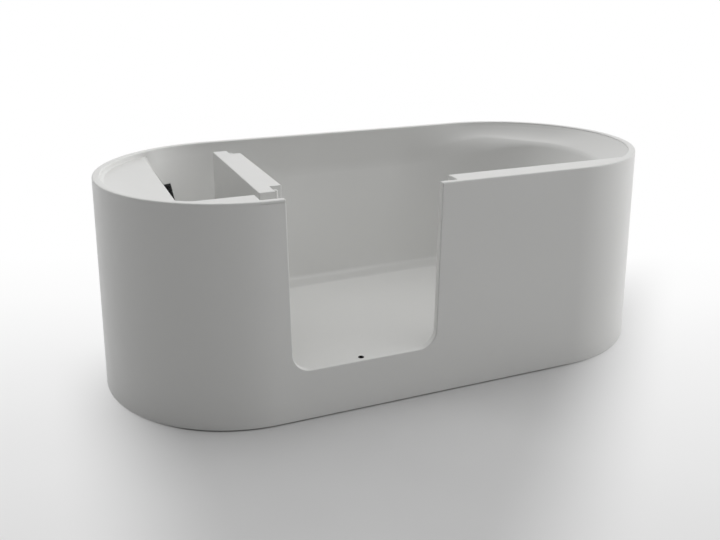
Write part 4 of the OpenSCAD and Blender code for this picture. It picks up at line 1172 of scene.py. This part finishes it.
def floor_material():
    """Pale floor. What the camera sees whitens away from the tub, with a painted falloff that leaves it
    darker towards the camera, and a painted shadow zone in front of the tub holds the white back, so that its
    shadow stays there.
    """
    mat = bpy.data.materials.new("studio_floor")
    mat.use_nodes = True
    t = mat.node_tree
    t.nodes.clear()
    out = node_of(t, "ShaderNodeOutputMaterial")
    place = node_of(t, "ShaderNodeTexCoord").outputs["Object"]
    diffuse = node_of(t, "ShaderNodeBsdfDiffuse")
    t.links.new(two_tone(t, noise(t, 3.0, 2.0), *FLOOR_TONES), diffuse.inputs["Color"])
    # painted shadow: the zone in front of the tub where the white is held back and the floor's real shading
    # shows
    painted_shadow = 1.0
    for way, start, end in PAINTED_SHADOW:
        painted_shadow = maths(t, "MULTIPLY", fade(t, along(t, place, way), start, end), painted_shadow)
    white = maths(t, "MULTIPLY", white_and_painted_falloff(t, place), maths(t, "SUBTRACT", 1.0, painted_shadow))
    reach = node_of(t, "ShaderNodeVectorMath", operation="LENGTH")
    t.links.new(place, reach.inputs[0])
    white = maths(t, "MAXIMUM", white, fade(t, reach.outputs["Value"], *FAR_WHITE))
    emit = node_of(t, "ShaderNodeEmission")
    emit.inputs["Color"].default_value = (1, 1, 1, 1)
    emit.inputs["Strength"].default_value = 1.0
    mix_shaders(t, maths(t, "MULTIPLY", white, maths(t, "MAXIMUM", *backdrop_rays(t))), diffuse, emit, out)
    return mat


def add_floor():
    s = FLOOR_HALF
    me = bpy.data.meshes.new("studio_floor")
    me.from_pydata([(-s, -s, 0), (s, -s, 0), (s, s, 0), (-s, s, 0)], [], [(0, 1, 2, 3)])
    floor = bpy.data.objects.new("studio_floor", me)
    me.materials.append(floor_material())
    scene.collection.objects.link(floor)


# soft lights around the dome: azimuth from +x, height above the floor, both in degrees, and strength
SOFT_LIGHTS = [(0, 90, 1.17), (90, 8, 0.66), (45, 8, 0.55), (0, 8, 3.5), (-45, 8, 0.30), (-45, 42, 0.24),
               (135, 42, 1.14)]
SOFT_LIGHT_POWER = 6.0          # the higher, the narrower is each light
BACKDROP = (0.1, 0.5)           # the backdrop's edge, by how much a ray runs along the camera's look


def studio_world():
    """A soft studio dome. The tub stands before a white backdrop, which glossy surfaces mirror too."""
    w = bpy.data.worlds.new("studio")
    scene.world = w
    w.use_nodes = True
    t = w.node_tree
    t.nodes.clear()
    out = node_of(t, "ShaderNodeOutputWorld")
    unit = node_of(t, "ShaderNodeVectorMath", operation="NORMALIZE")
    t.links.new(node_of(t, "ShaderNodeTexCoord").outputs["Generated"], unit.inputs[0])
    ray = unit.outputs[0]
    total = 0.0
    for azimuth, height, strength in SOFT_LIGHTS:
        (ac, az), (hc, hz) = cos_sin(azimuth), cos_sin(height)
        facing = maths(t, "MAXIMUM", along(t, ray, (ac * hc, az * hc, hz)), 0.0)
        light = maths(t, "MULTIPLY", maths(t, "POWER", facing, SOFT_LIGHT_POWER), strength)
        total = maths(t, "ADD", light, total)
    lit, white = (node_of(t, "ShaderNodeBackground") for _ in range(2))
    for shader in (lit, white):
        shader.inputs["Color"].default_value = (1, 1, 1, 1)
    t.links.new(total, lit.inputs["Strength"])
    seen, glossy = backdrop_rays(t)
    behind = fade(t, along(t, ray, AWAY), *BACKDROP)
    mix_shaders(t, maths(t, "MAXIMUM", seen, maths(t, "MULTIPLY", glossy, behind)), lit, white, out)


add_camera()
add_floor()
studio_world()
scene.view_settings.view_transform = "Standard"
